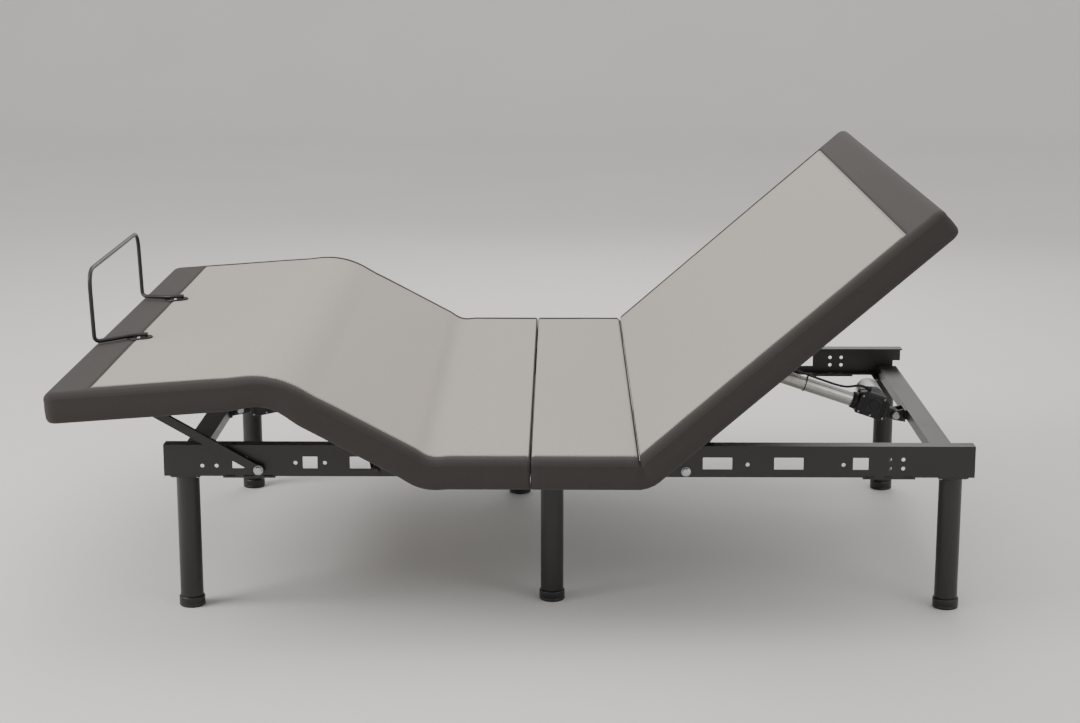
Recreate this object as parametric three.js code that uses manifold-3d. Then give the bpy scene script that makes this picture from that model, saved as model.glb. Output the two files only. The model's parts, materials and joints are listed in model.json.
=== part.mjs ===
// Adjustable bed base: a folding steel frame on six legs carries an upholstered deck in four
// articulated sections. Two electric actuators push two lift arm frames, whose rollers run under
// the head section and the thigh section. Two drag links keep the foot section nearly level.
//
// Units are millimetres, +Z is up, +X points to the head end. "left" is the -Y side.

import * as THREE from 'three';
import { mergeVertices } from 'three/addons/utils/BufferGeometryUtils.js';
import Module from 'manifold-3d';

const wasm = await Module();
wasm.setup();

const degree = Math.PI / 180;

// ---------------------------------------------------------------- driving dimensions

const clearance = 0.3; // between pieces that touch
const swingGap = 1.5; // from a hinge line to the board beside it

// Steel frame
const railLength = 1768;
const railSpread = 1042; // over the outer faces of the two side rails
const railHeight = 70;
const railFlange = 34;
const railWall = 3;
const foldOffset = -80.3; // fold line of the frame, from the middle of its length
const foldGap = 3; // half of the gap at the fold line
const legHeight = 307.7; // floor to the underside of the side rails
const legSetIn = 5; // corner leg centre, from the middle of its cross member towards the bed's middle
const legInset = 38.6; // corner leg centre, from the outer face of its rail
const midLegInset = 85.5; // mid leg centre, from the outer face of its rail
const midMemberOffset = 44; // mid cross members, from the fold line
const legDiameter = 50.8;
const legWall = 2;
const footDiameter = 57;
const footHeight = 24;
const legPlateSize = 66;
const legPlateThickness = 4;
const memberWidth = 49;
const memberHeight = 25;
const memberWall = 2.5;
const endMemberInset = 15.5; // outer face of an end cross member, from the rail ends
const saddleLength = 114; // plates welded under the side rails
const saddleThickness = 4;
const saddleInset = 186; // middle of a saddle plate, from the rail ends
const endNotch = { length: 19, height: 33 }; // lower corner cut from the right rail's head end

// Deck
const deckWidth = 1524;
const boardThickness = 18;
const paddingThickness = 13.7;
const skirtDepth = 52; // board top to the lower edge of the side skirt
const skirtThickness = 24;
const wrapThickness = 6; // fabric and wadding outside the board edge
const cornerRadius = 20;
const pocketCornerRadius = 4; // inside corners of the end skirt
const seatHeadLength = 227.7; // fold line to the hip hinge
const seatFootLength = 210; // fold line to the thigh hinge
const thighLength = 361; // thigh hinge to the knee hinge
const footLength = 468; // knee hinge to the foot end
const headLength = 802; // hip hinge to the head end
const hingePinRadius = 2.6;
const topHingeRise = 4; // hinge axis above the board top, at the hip and the thigh
const kneeHingeRise = 3.5; // hinge axis above the board underside, at the knee
const paddingBevel = 7; // top edge of the padding set back beside a folding crease

// How far each section is raised as modelled, in degrees
const headAngle = 41;
const headAngleMost = 60;
const thighAngle = 28;
const thighAngleMost = 40;
const kneeRatio = 1.154; // knee hinge turn for each degree of the thigh hinge

// Lift arm frames
const liftPivotRise = 12.3; // pivot above the underside of the rails
const torqueBarRadius = 16;
const armThickness = 8;
const armHeight = 30;
const rollerRadius = 20;
const rollerWidth = 22;
const rampWidth = 26;
const rampGap = 10; // lift ramp to the flange of the side rail
const rampClearance = 1; // roller to ramp
const rampToe = 8; // each end of a ramp leans out by this much at the board
const rampRest = 20; // depth of a ramp where its roller stands, section raised as modelled
const headLift = { pivotOffset: 108.2, armLength: 350, ratio: 1.15, leverLength: 176.5, leverLead: -1.4 };
const thighLift = { pivotOffset: 130.8, armLength: 165, ratio: 1.5, leverLength: 100, leverLead: -10.5 };

// Actuators
const actuatorOffset = 40; // actuator centre line, from the middle of the bed towards the right
const bracketReach = 23.5; // bracket pin, from the inner face of its cross member
// Bracket pin below the top of the rails; outer tube's open end and rod's inner end, from the rod eye
const headActuator = { pinDrop: 63.7, tubeBack: 122, rodBack: 220 };
const thighActuator = { pinDrop: 52.7, tubeBack: 63, rodBack: 138 };
const pinRadius = 5;
const boreClearance = 0.6;
const gearboxLength = 78;
const gearboxWidth = 60;
const gearboxLug = 22; // bracket pin to the gearbox body
const gearboxBelow = 24; // housing, below and above the actuator's centre line
const gearboxAbove = 36;
const lugRadius = 12;
const motorAlong = 58; // motor shaft, from the bracket pin
const motorRise = 14; // and above the actuator's centre line
const motorRadius = 29;
const motorLength = 96;
const outerTubeRadius = 17;
const outerTubeWall = 3;
const rodRadius = 9;
const eyeRadius = 14;
const eyeWidth = 18;
const bracketCheek = 5; // thickness of a bracket's plates
const bracketTip = 12; // half height of a bracket cheek at the pin
const bracketRoot = 16; // and at the cross member
const leverPlate = 6;
const leverGap = 0.9;

// Drag links
const dragPivotInset = 208.5; // lower pivot, from the rail ends
const dragPivotRise = 17.3; // above the underside of the rails
const dragBar = { height: 19, thickness: 12, endRadius: 12.5 };
const dragStandoff = 3; // link to the outer face of the rail
const dragTop = { along: 341, drop: 38.7 }; // upper pivot, from the knee and below the board
const bracketPlate = 4;

// Mattress retainer
const retainerRod = 5;
const retainerSpread = 560; // between the uprights
const retainerPlateSpread = 470; // between the mounting plates
const retainerHeight = 172;
const retainerInset = 10; // foot of the uprights, from the foot end
const retainerLean = 6; // top of the uprights, towards the head
const retainerPlateInset = 104;
const retainerBend = 15; // at the foot of each upright
const retainerTopBend = 46; // at the two top corners

// Control box
const controlBox = { length: 118, width: 170, height: 38 };
const cableRadius = 3;

// ---------------------------------------------------------------- places worked out from them

const railTop = legHeight + railHeight;
const memberTop = legHeight + memberHeight;
const boardBottom = railTop + clearance;
const boardTop = boardBottom + boardThickness;
const paddingBottom = boardTop + clearance;
const railEnd = railLength / 2;
const railOuter = railSpread / 2;
const flangeEdge = railOuter - railFlange;
const foldX = foldOffset;
const hipX = foldX + seatHeadLength;
const thighX = foldX - seatFootLength;
const topHingeZ = boardTop + topHingeRise;
const kneeHingeZ = boardBottom + kneeHingeRise;
const liftPivotZ = legHeight + liftPivotRise;
const endMemberX = railEnd - endMemberInset - memberWidth / 2;
const legX = endMemberX - legSetIn;
const boardHalfWidth = deckWidth / 2 - wrapThickness;
const pinGap = hingePinRadius + swingGap / 2; // from a hinge axis to the piece beside the pin
// Half of the largest knee turn decides how far each skirt is cut back below the knee.
const kneeTrim = skirtDepth * Math.tan(thighAngleMost * kneeRatio * degree / 2) * 0.75;
const sides = { left: -1, right: 1 };

// ---------------------------------------------------------------- materials

const powderCoat = new THREE.MeshStandardMaterial({ color: 0x1f1c1a, roughness: 0.45, metalness: 0.3 });
const zincSteel = new THREE.MeshStandardMaterial({ color: 0xb9bcbf, roughness: 0.35, metalness: 1 });
const aluminium = new THREE.MeshStandardMaterial({ color: 0xc4c3bf, roughness: 0.35, metalness: 1 });
const blackPlastic = new THREE.MeshStandardMaterial({ color: 0x151517, roughness: 0.5, metalness: 0 });
const nylon = new THREE.MeshStandardMaterial({ color: 0xd9d6cc, roughness: 0.5, metalness: 0 });
const boardWood = new THREE.MeshStandardMaterial({ color: 0x8a6f4f, roughness: 0.8, metalness: 0 });
const fabric = new THREE.MeshStandardMaterial({ color: 0xa39e9a, roughness: 0.9, metalness: 0 });
const cableJacket = new THREE.MeshStandardMaterial({ color: 0x101011, roughness: 0.6, metalness: 0 });

// ---------------------------------------------------------------- shape helpers

// A box between two corners.
function block(x0, x1, y0, y1, z0, z1) {
  const geometry = new THREE.BoxGeometry(x1 - x0, y1 - y0, z1 - z0);
  return geometry.translate((x0 + x1) / 2, (y0 + y1) / 2, (z0 + z1) / 2);
}

// A cylinder along Y, from y0 to y1, round the point (x, z).
function rodAlongY(x, z, radius, y0, y1, segments = 24) {
  const geometry = new THREE.CylinderGeometry(radius, radius, y1 - y0, segments);
  return geometry.translate(x, (y0 + y1) / 2, z);
}

// A cylinder along X, from x0 to x1, round the point (y, z).
function rodAlongX(x0, x1, y, z, radius, segments = 24) {
  const geometry = new THREE.CylinderGeometry(radius, radius, x1 - x0, segments);
  return geometry.rotateZ(Math.PI / 2).translate((x0 + x1) / 2, y, z);
}

// An outline drawn in X and Z, made into a plate from y0 to y1.
function plateAcrossY(shape, y0, y1) {
  const geometry = new THREE.ExtrudeGeometry(shape, { depth: y1 - y0, bevelEnabled: false });
  return geometry.rotateX(Math.PI / 2).translate(0, y1, 0);
}

// An outline drawn in Y and Z, drawn out along X.
function profileAlongX(shape, x0, x1) {
  const geometry = new THREE.ExtrudeGeometry(shape, { depth: x1 - x0, bevelEnabled: false });
  const turn = new THREE.Matrix4().makeBasis(
    new THREE.Vector3(0, 1, 0),
    new THREE.Vector3(0, 0, 1),
    new THREE.Vector3(1, 0, 0),
  );
  return geometry.applyMatrix4(turn).translate(x0, 0, 0);
}

// An outline drawn in X and Y, made into a slab from z0 to z1.
function slab(shape, z0, z1) {
  const geometry = new THREE.ExtrudeGeometry(shape, { depth: z1 - z0, bevelEnabled: false, curveSegments: 6 });
  return geometry.translate(0, 0, z0);
}

function polygon(points) {
  return new THREE.Shape(points.map(([a, b]) => new THREE.Vector2(a, b)));
}

// A ring round Z, from its outer and inner radius.
function ring(outer, inner, z0, z1, segments = 28) {
  const corners = [[inner, z0], [outer, z0], [outer, z1], [inner, z1], [inner, z0]];
  const profile = corners.map(([r, z]) => new THREE.Vector2(r, z));
  return new THREE.LatheGeometry(profile, segments).rotateX(Math.PI / 2);
}

function solidOf(geometry) {
  const plain = geometry.clone();
  plain.deleteAttribute('normal');
  plain.deleteAttribute('uv');
  const merged = mergeVertices(plain, 1e-4);
  const mesh = new wasm.Mesh({
    numProp: 3,
    vertProperties: new Float32Array(merged.attributes.position.array),
    triVerts: new Uint32Array(merged.index.array),
  });
  return new wasm.Manifold(mesh);
}

function geometryOf(solid) {
  const mesh = solid.getMesh();
  const geometry = new THREE.BufferGeometry();
  geometry.setAttribute('position', new THREE.BufferAttribute(new Float32Array(mesh.vertProperties), 3));
  geometry.setIndex(new THREE.BufferAttribute(new Uint32Array(mesh.triVerts), 1));
  geometry.computeVertexNormals();
  return geometry;
}

function join(first, ...others) {
  return geometryOf(others.reduce((solid, piece) => solid.add(solidOf(piece)), solidOf(first)));
}

function cut(first, ...tools) {
  return geometryOf(tools.reduce((solid, tool) => solid.subtract(solidOf(tool)), solidOf(first)));
}

function mesh(name, geometry, material) {
  const piece = new THREE.Mesh(geometry, material.clone());
  piece.name = name;
  return piece;
}

// A group whose own X axis points along the part it carries: turned by `angle` radians so that a
// positive angle raises the +X end.
function raisedGroup(name, x, y, z, angle) {
  const group = new THREE.Group();
  group.name = name;
  group.position.set(x, y, z);
  group.rotation.y = -angle;
  return group;
}

// ---------------------------------------------------------------- side rails, cross members

// Openings of the outer web, as [middle X, length], and round holes, as [X, height above the
// underside of the rail]. Those of the head half and the foot half differ.
const webSlotHeight = 27;
const webSlotZ = legHeight + 30.8;
const boltHoleRadius = 4.5;
const webOpenings = {
  head: {
    slots: [[60, 64], [324, 64], [479, 64], [635.5, 34]],
    holes: [[389.5, 28.4], [598, 28.4], [698.4, 20.3], [698.4, 40.5], [727.9, 20.3], [727.9, 40.5]],
  },
  foot: {
    slots: [[-240, 64], [-445.5, 64], [-564, 32], [-717, 34]],
    holes: [[-531.8, 30], [-596.1, 30], [-768.6, 23], [-799.8, 23]],
  },
};

function sideRail(half, side) {
  const headHalf = half === 'head';
  const x0 = headHalf ? foldX + foldGap : -railEnd;
  const x1 = headHalf ? railEnd : foldX - foldGap;
  const outer = side * railOuter;
  const inner = side * flangeEdge;
  const webInner = side * (railOuter - railWall);
  const channel = polygon([
    [inner, legHeight],
    [outer, legHeight],
    [outer, railTop],
    [inner, railTop],
    [inner, railTop - railWall],
    [webInner, railTop - railWall],
    [webInner, legHeight + railWall],
    [inner, legHeight + railWall],
  ]);
  const saddleX = (headHalf ? 1 : -1) * (railEnd - saddleInset);
  const saddle = block(
    saddleX - saddleLength / 2,
    saddleX + saddleLength / 2,
    Math.min(inner, outer),
    Math.max(inner, outer),
    legHeight - saddleThickness,
    legHeight + 0.5,
  );
  const webTool = [Math.min(outer, webInner) - 2, Math.max(outer, webInner) + 2];
  const pivots = headHalf
    ? [[hipX + headLift.pivotOffset, liftPivotRise]]
    : [[thighX - thighLift.pivotOffset, liftPivotRise], [-railEnd + dragPivotInset, dragPivotRise]];
  const openings = webOpenings[half].slots.map(([x, length]) =>
    block(x - length / 2, x + length / 2, ...webTool, webSlotZ - webSlotHeight / 2, webSlotZ + webSlotHeight / 2));
  const holes = [...webOpenings[half].holes, ...pivots].map(([x, rise]) =>
    rodAlongY(x, legHeight + rise, boltHoleRadius, ...webTool, 12));
  const notch = block(
    x1 - endNotch.length,
    x1 + 5,
    Math.min(inner, outer) - 5,
    Math.max(inner, outer) + 5,
    legHeight - 5,
    legHeight + endNotch.height,
  );
  const notches = headHalf && side > 0 ? [notch] : [];
  return cut(join(profileAlongX(channel, x0, x1), saddle), ...openings, ...holes, ...notches);
}

// A rectangular tube across the bed, with its underside level with the rails.
function crossMember(middleX, width) {
  const outline = polygon([
    [middleX - width / 2, legHeight],
    [middleX + width / 2, legHeight],
    [middleX + width / 2, memberTop],
    [middleX - width / 2, memberTop],
  ]);
  outline.holes.push(polygon([
    [middleX - width / 2 + memberWall, legHeight + memberWall],
    [middleX - width / 2 + memberWall, memberTop - memberWall],
    [middleX + width / 2 - memberWall, memberTop - memberWall],
    [middleX + width / 2 - memberWall, legHeight + memberWall],
  ]));
  return plateAcrossY(outline, -flangeEdge + clearance, flangeEdge - clearance);
}

// ---------------------------------------------------------------- legs

// A leg with its top plate, its centre at the origin of X and Y, under something at height `top`.
function leg(top) {
  const plateBottom = top - clearance - legPlateThickness;
  const tube = ring(legDiameter / 2, legDiameter / 2 - legWall, footHeight + clearance, plateBottom + 0.5);
  const half = legPlateSize / 2;
  return join(tube, block(-half, half, -half, half, plateBottom, top - clearance));
}

// A moulded glide: a collar under the tube, with a spigot up inside it.
function footPad() {
  const spigot = legDiameter / 2 - legWall - clearance;
  const profile = [
    [0, 0],
    [footDiameter / 2 - 2, 0],
    [footDiameter / 2, 2],
    [footDiameter / 2, footHeight],
    [spigot, footHeight],
    [spigot, footHeight + 12],
    [0, footHeight + 12],
  ].map(([r, z]) => new THREE.Vector2(r, z));
  return new THREE.LatheGeometry(profile, 28).rotateX(Math.PI / 2);
}

// ---------------------------------------------------------------- deck boards and padding

// A plan outline from x0 to x1, with both corners rounded at the x1 end when `rounded` is set.
// x1 may lie on either side of x0.
function deckOutline(x0, x1, halfWidth, radius) {
  const way = Math.sign(x1 - x0);
  const shape = new THREE.Shape();
  shape.moveTo(x0, -halfWidth);
  shape.lineTo(x1 - way * radius, -halfWidth);
  if (radius > 0) shape.quadraticCurveTo(x1, -halfWidth, x1, -halfWidth + radius);
  shape.lineTo(x1, halfWidth - radius);
  if (radius > 0) shape.quadraticCurveTo(x1, halfWidth, x1 - way * radius, halfWidth);
  shape.lineTo(x0, halfWidth);
  return shape;
}

// A deck board with a skirt down both long edges, and down its far end when `endSkirt` is set.
// Heights are measured from `z`, the height of the hinge axis that the board turns on.
// `trim` shortens the lower part of the skirt at each end, where it meets its neighbour.
function deckBoard({ x0, x1, z = 0, endSkirt = false, trim0 = 0, trim1 = 0 }) {
  const way = Math.sign(x1 - x0);
  const top = boardTop - z;
  const bottom = boardBottom - z;
  const skirtBottom = top - skirtDepth;
  const corner = endSkirt ? cornerRadius : 0;
  const pocketEnd = endSkirt ? x1 - way * skirtThickness : x1 + way * 5;
  const pocketCorner = endSkirt ? pocketCornerRadius : 0;
  const body = slab(deckOutline(x0, x1, boardHalfWidth, corner), skirtBottom, top);
  const pocket = slab(
    deckOutline(x0 - way * 5, pocketEnd, boardHalfWidth - skirtThickness, pocketCorner),
    skirtBottom - 5,
    bottom,
  );
  const tools = [pocket];
  const wide = deckWidth / 2 + 5;
  if (trim0 > 0) tools.push(skirtTrim(x0, way, trim0, wide, bottom, skirtBottom));
  if (trim1 > 0) tools.push(skirtTrim(x1, -way, trim1, wide, bottom, skirtBottom));
  return cut(body, ...tools);
}

// A wedge that cuts a skirt back below the board, so two skirts can close on each other.
function skirtTrim(x, way, depth, wide, bottom, skirtBottom) {
  const wedge = polygon([
    [x - way * 5, bottom],
    [x, bottom],
    [x + way * depth, skirtBottom - 1],
    [x - way * 5, skirtBottom - 1],
  ]);
  return plateAcrossY(wedge, -wide, wide);
}

// Padding on a board. `bevel0` and `bevel1` set the top edge back at each end.
function deckPadding({ x0, x1, z = 0, rounded = false, bevel0 = 0, bevel1 = 0 }) {
  const way = Math.sign(x1 - x0);
  const bottom = paddingBottom - z;
  const top = bottom + paddingThickness;
  const radius = rounded ? cornerRadius + wrapThickness : 0;
  const body = slab(deckOutline(x0, x1, deckWidth / 2, radius), bottom, top);
  const bevel = (x, inward, setback) => plateAcrossY(
    polygon([[x - inward * 5, bottom], [x, bottom], [x + inward * setback, top], [x + inward * setback, top + 5],
      [x - inward * 5, top + 5]]),
    -deckWidth,
    deckWidth,
  );
  const tools = [];
  if (bevel0 > 0) tools.push(bevel(x0, way, bevel0));
  if (bevel1 > 0) tools.push(bevel(x1, -way, bevel1));
  return tools.length > 0 ? cut(body, ...tools) : body;
}

// ---------------------------------------------------------------- lift arms, rollers and ramps

// Everything about a lift that follows from the hinge and the section it raises. Distances run
// away from the hinge, and the section lies along them when it is flat.
function liftGeometry(lift, restAngle, mostAngle) {
  const pivotDrop = topHingeZ - liftPivotZ;
  const underside = topHingeZ - boardBottom;
  const rest = restAngle * degree;
  // At rest the roller centre hangs this far below the line from the hinge along the section.
  const hang = underside + clearance + rampRest + rampClearance + rollerRadius;
  const rise = lift.pivotOffset * Math.sin(rest) + pivotDrop * Math.cos(rest) - hang;
  const armRest = rest + Math.asin(rise / lift.armLength);
  const rollerPath = (angle) => {
    const arm = armRest + lift.ratio * (angle - rest);
    const x = lift.pivotOffset + lift.armLength * Math.cos(arm);
    const z = -pivotDrop + lift.armLength * Math.sin(arm);
    return [x * Math.cos(angle) + z * Math.sin(angle), -x * Math.sin(angle) + z * Math.cos(angle)];
  };
  return { armRest, rollerPath, underside, most: mostAngle * degree };
}

// The ramp under a section: its lower edge is the path of the roller's top as the section moves,
// carried on a little past both ends of the travel.
function liftRamp(geometry, way) {
  const steps = 12;
  const past = 5 * degree;
  const reach = rollerRadius + rampClearance;
  const lower = [];
  for (let i = 0; i <= steps; i += 1) {
    const angle = -past + ((geometry.most + 2 * past) * i) / steps;
    const [x, z] = geometry.rollerPath(angle);
    const [xNext, zNext] = geometry.rollerPath(angle + 0.01);
    const length = Math.hypot(xNext - x, zNext - z);
    const normal = [(zNext - z) / length, -(xNext - x) / length];
    lower.push([x + normal[0] * reach, z + normal[1] * reach]);
  }
  const top = -geometry.underside - clearance;
  const outer = lower[0];
  const inner = lower[steps];
  const outline = [[outer[0] + rampToe, top], ...lower, [inner[0] - rampToe, top]];
  return polygon(outline.map(([x, z]) => [way * x, z]));
}

const rampOuter = flangeEdge - rampGap;
const rampInner = rampOuter - rampWidth;
const armOuter = rampInner - 2;

// Torque bar with an arm at each end and a forked lever for the actuator rod. The arms point
// along +X here, and the lever leads them by lever angle.
function liftFrame(lift) {
  const tubeEnd = rampOuter - 2;
  const journalEnd = railOuter - railWall - clearance;
  const journalRadius = liftPivotRise - railWall - 1.2;
  const bar = rodAlongY(0, 0, torqueBarRadius, -tubeEnd, tubeEnd);
  const pieces = [];
  for (const side of [-1, 1]) {
    const span = (a, b) => [Math.min(side * a, side * b), Math.max(side * a, side * b)];
    const armSpan = span(armOuter - armThickness, armOuter);
    pieces.push(
      block(0, lift.armLength, ...armSpan, -armHeight / 2, armHeight / 2),
      rodAlongY(0, 0, torqueBarRadius + 4, ...armSpan),
      rodAlongY(lift.armLength, 0, armHeight / 2, ...armSpan, 16),
      rodAlongY(lift.armLength, 0, pinRadius, ...span(armOuter - 1, rampOuter - 0.5), 12),
      rodAlongY(0, 0, journalRadius, ...span(tubeEnd - 12, journalEnd), 16),
    );
    const cheek = side * (eyeWidth / 2 + leverGap + leverPlate / 2);
    pieces.push(leverPlateAt(lift, actuatorOffset + cheek));
  }
  return join(bar, ...pieces);
}

// One cheek of the lever: a tapered plate from the torque bar to the rod's pin hole.
function leverPlateAt(lift, y) {
  const y0 = y - leverPlate / 2;
  const y1 = y + leverPlate / 2;
  const outline = polygon([
    [0, -torqueBarRadius - 3],
    [lift.leverLength, -eyeRadius],
    [lift.leverLength, eyeRadius],
    [0, torqueBarRadius + 3],
  ]);
  const plate = join(
    plateAcrossY(outline, y0, y1),
    rodAlongY(lift.leverLength, 0, eyeRadius, y0, y1),
    rodAlongY(0, 0, torqueBarRadius + 3, y0, y1),
  );
  const bored = cut(plate, rodAlongY(lift.leverLength, 0, pinRadius + boreClearance, y0 - 1, y1 + 1, 16));
  return bored.rotateY(-lift.leverLead * degree);
}

function roller() {
  return ring(rollerRadius, pinRadius + boreClearance, -rollerWidth / 2, rollerWidth / 2, 24)
    .rotateX(Math.PI / 2);
}

// ---------------------------------------------------------------- actuators

// An actuator lies along +X here from its bracket pin at the origin, with Z up and Y across.
function gearbox() {
  const half = gearboxWidth / 2;
  const start = gearboxLug;
  const end = gearboxLug + gearboxLength;
  const side = polygon([
    [start, 5 - gearboxBelow],
    [start + 8, -gearboxBelow],
    [end, -gearboxBelow],
    [end, gearboxAbove - 7],
    [end - 18, gearboxAbove],
    [start + 14, gearboxAbove],
    [start, gearboxAbove - 13],
  ]);
  const lugHalf = eyeWidth / 2 + 9;
  const lug = join(
    block(0, start + 4, -lugHalf, lugHalf, -lugRadius, lugRadius),
    rodAlongY(0, 0, lugRadius, -lugHalf, lugHalf),
  );
  return cut(
    join(plateAcrossY(side, -half, half), lug),
    rodAlongY(0, 0, pinRadius + boreClearance, -lugHalf - 1, lugHalf + 1, 16),
  );
}

function motor() {
  const half = gearboxWidth / 2 + clearance;
  return join(
    rodAlongY(motorAlong, motorRise, motorRadius, half, half + motorLength, 32),
    rodAlongY(motorAlong, motorRise, motorRadius - 7, half + motorLength - 1, half + motorLength + 6, 32),
  );
}

function outerTube(end) {
  const start = gearboxLug + gearboxLength + clearance;
  return ring(outerTubeRadius, outerTubeRadius - outerTubeWall, start, end, 28).rotateY(Math.PI / 2);
}

function actuatorRod(start, end) {
  const halfWidth = eyeWidth / 2;
  return cut(
    join(
      rodAlongX(start, end - eyeRadius + 3, 0, 0, rodRadius),
      rodAlongY(end, 0, eyeRadius, -halfWidth, halfWidth),
    ),
    rodAlongY(end, 0, pinRadius + boreClearance, -halfWidth - 1, halfWidth + 1, 16),
  );
}

// A plate on the inner face of an end cross member, with two cheeks that carry the pin.
function actuatorBracket(pinX, pinZ, way) {
  const face = way * (railEnd - endMemberInset - memberWidth - clearance);
  const near = eyeWidth / 2 + 9 + leverGap;
  const outline = polygon([
    [pinX, pinZ - bracketTip],
    [face, pinZ - bracketRoot],
    [face, pinZ + bracketRoot],
    [pinX, pinZ + bracketTip],
  ]);
  const cheeks = [-1, 1].map((side) => {
    const ys = [side * near, side * (near + bracketCheek)].sort((a, b) => a - b);
    return join(plateAcrossY(outline, ...ys), rodAlongY(pinX, pinZ, bracketTip, ...ys));
  });
  const plate = block(
    Math.min(face, face - way * bracketCheek),
    Math.max(face, face - way * bracketCheek),
    -near - 2 * bracketTip,
    near + 2 * bracketTip,
    legHeight + 1,
    memberTop - 1,
  );
  const pin = rodAlongY(pinX, pinZ, pinRadius, -near - bracketCheek - 4, near + bracketCheek + 4, 16);
  return join(plate, ...cheeks, pin).translate(0, actuatorOffset, 0);
}

// The bracket pin, and the distance and angle from it to the lever of the lift frame at rest.
// Distances run from the pin towards the middle of the bed.
function actuatorGeometry(lift, geometry, hingeX, pinDrop, way) {
  const pinX = way * (railEnd - endMemberInset - memberWidth - bracketReach);
  const pinZ = railTop - pinDrop;
  const leverAngle = geometry.armRest + lift.leverLead * degree;
  const pivotX = hingeX + way * lift.pivotOffset;
  const eyeX = pivotX + way * lift.leverLength * Math.cos(leverAngle);
  const eyeZ = liftPivotZ + lift.leverLength * Math.sin(leverAngle);
  const run = way * (pinX - eyeX);
  return {
    pinX,
    pinZ,
    pivotX,
    length: Math.hypot(run, eyeZ - pinZ),
    angle: Math.atan2(eyeZ - pinZ, run),
  };
}

// ---------------------------------------------------------------- drag links, retainer, cable

function dragLink(length) {
  const half = dragBar.height / 2;
  const y1 = dragBar.thickness / 2;
  const bar = join(
    block(0, length, -y1, y1, -half, half),
    rodAlongY(0, 0, dragBar.endRadius, -y1, y1),
    rodAlongY(length, 0, dragBar.endRadius, -y1, y1),
  );
  return cut(
    bar,
    rodAlongY(0, 0, boltHoleRadius, -y1 - 1, y1 + 1, 16),
    rodAlongY(length, 0, boltHoleRadius, -y1 - 1, y1 + 1, 16),
  );
}

// An angle bracket under the foot board: a flange screwed to the board and a cheek outside the link.
function linkBracket(side, kneeZ) {
  const linkInner = railOuter + dragStandoff;
  const linkOuter = linkInner + dragBar.thickness;
  const cheekInner = linkOuter + 1.5;
  const cheekOuter = cheekInner + bracketPlate;
  const top = boardBottom - kneeZ - clearance;
  const pivotZ = boardBottom - kneeZ - dragTop.drop;
  const cheek = polygon([
    [-dragTop.along - 50, top],
    [-dragTop.along - 50, top - 10],
    [-dragTop.along - 14, pivotZ - 16],
    [-dragTop.along + 14, pivotZ - 16],
    [-dragTop.along + 50, top - 10],
    [-dragTop.along + 50, top],
  ]);
  const span = (a, b) => [Math.min(side * a, side * b), Math.max(side * a, side * b)];
  const flange = block(
    -dragTop.along - 50,
    -dragTop.along + 50,
    ...span(linkInner, cheekOuter),
    top - bracketPlate,
    top,
  );
  return cut(
    join(plateAcrossY(cheek, ...span(cheekInner, cheekOuter)), flange),
    rodAlongY(-dragTop.along, pivotZ, boltHoleRadius, ...span(cheekInner - 1, cheekOuter + 1), 16),
  );
}

// A path of straight runs with rounded corners: one setback for each corner, from corner to bend.
function bentPath(points, setbacks) {
  const path = new THREE.CurvePath();
  let start = points[0];
  for (let i = 1; i < points.length - 1; i += 1) {
    const toCorner = points[i].clone().sub(points[i - 1]).normalize();
    const fromCorner = points[i + 1].clone().sub(points[i]).normalize();
    const before = points[i].clone().addScaledVector(toCorner, -setbacks[i - 1]);
    const after = points[i].clone().addScaledVector(fromCorner, setbacks[i - 1]);
    path.add(new THREE.LineCurve3(start, before));
    path.add(new THREE.QuadraticBezierCurve3(before, points[i].clone(), after));
    start = after;
  }
  path.add(new THREE.LineCurve3(start, points[points.length - 1]));
  return path;
}

function roundBar(path, radius, quarterSides, steps) {
  const section = new THREE.Shape();
  section.absarc(0, 0, radius, 0, Math.PI * 2, false);
  return new THREE.ExtrudeGeometry(section, {
    steps,
    bevelEnabled: false,
    curveSegments: quarterSides,
    extrudePath: path,
  });
}

// The bar that keeps the mattress on the deck: one bent rod welded to two plates.
function retainer(kneeZ) {
  const deckTop = paddingBottom + paddingThickness - kneeZ;
  const plateZ = deckTop + clearance;
  const plateThickness = 4;
  const rodZ = plateZ + plateThickness + retainerRod - 0.5;
  const uprightX = -footLength + retainerInset;
  const plateX = -footLength + retainerPlateInset;
  const half = retainerSpread / 2;
  const plateY = retainerPlateSpread / 2;
  const topZ = deckTop + retainerHeight;
  const points = [
    [plateX + 18, -plateY, rodZ],
    [plateX - 20, -plateY, rodZ],
    [uprightX, -half, rodZ],
    [uprightX + retainerLean, -half, topZ],
    [uprightX + retainerLean, half, topZ],
    [uprightX, half, rodZ],
    [plateX - 20, plateY, rodZ],
    [plateX + 18, plateY, rodZ],
  ].map(([x, y, z]) => new THREE.Vector3(x, y, z));
  const low = retainerBend;
  const high = retainerTopBend;
  const rod = roundBar(bentPath(points, [low, low, high, high, low, low]), retainerRod, 4, 76);
  const plate = new THREE.CylinderGeometry(26, 26, plateThickness, 24).rotateX(Math.PI / 2);
  const plates = [-1, 1].map((side) => plate.clone().scale(1, 0.8, 1)
    .translate(plateX, side * plateY, plateZ + plateThickness / 2));
  return join(rod, ...plates);
}

// ---------------------------------------------------------------- the assembly

const base = new THREE.Group();
base.name = 'base_frame';

for (const [sideName, side] of Object.entries(sides)) {
  base.add(mesh(`side_rail_${sideName}_head`, sideRail('head', side), powderCoat));
  base.add(mesh(`side_rail_${sideName}_foot`, sideRail('foot', side), powderCoat));
}

base.add(mesh('cross_member_head_end', crossMember(endMemberX, memberWidth), powderCoat));
base.add(mesh('cross_member_foot_end', crossMember(-endMemberX, memberWidth), powderCoat));
const midMemberHeadX = foldX + midMemberOffset;
const midMemberFootX = foldX - midMemberOffset;
base.add(mesh('cross_member_mid_head', crossMember(midMemberHeadX, memberWidth), powderCoat));
base.add(mesh('cross_member_mid_foot', crossMember(midMemberFootX, memberWidth), powderCoat));

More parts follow.
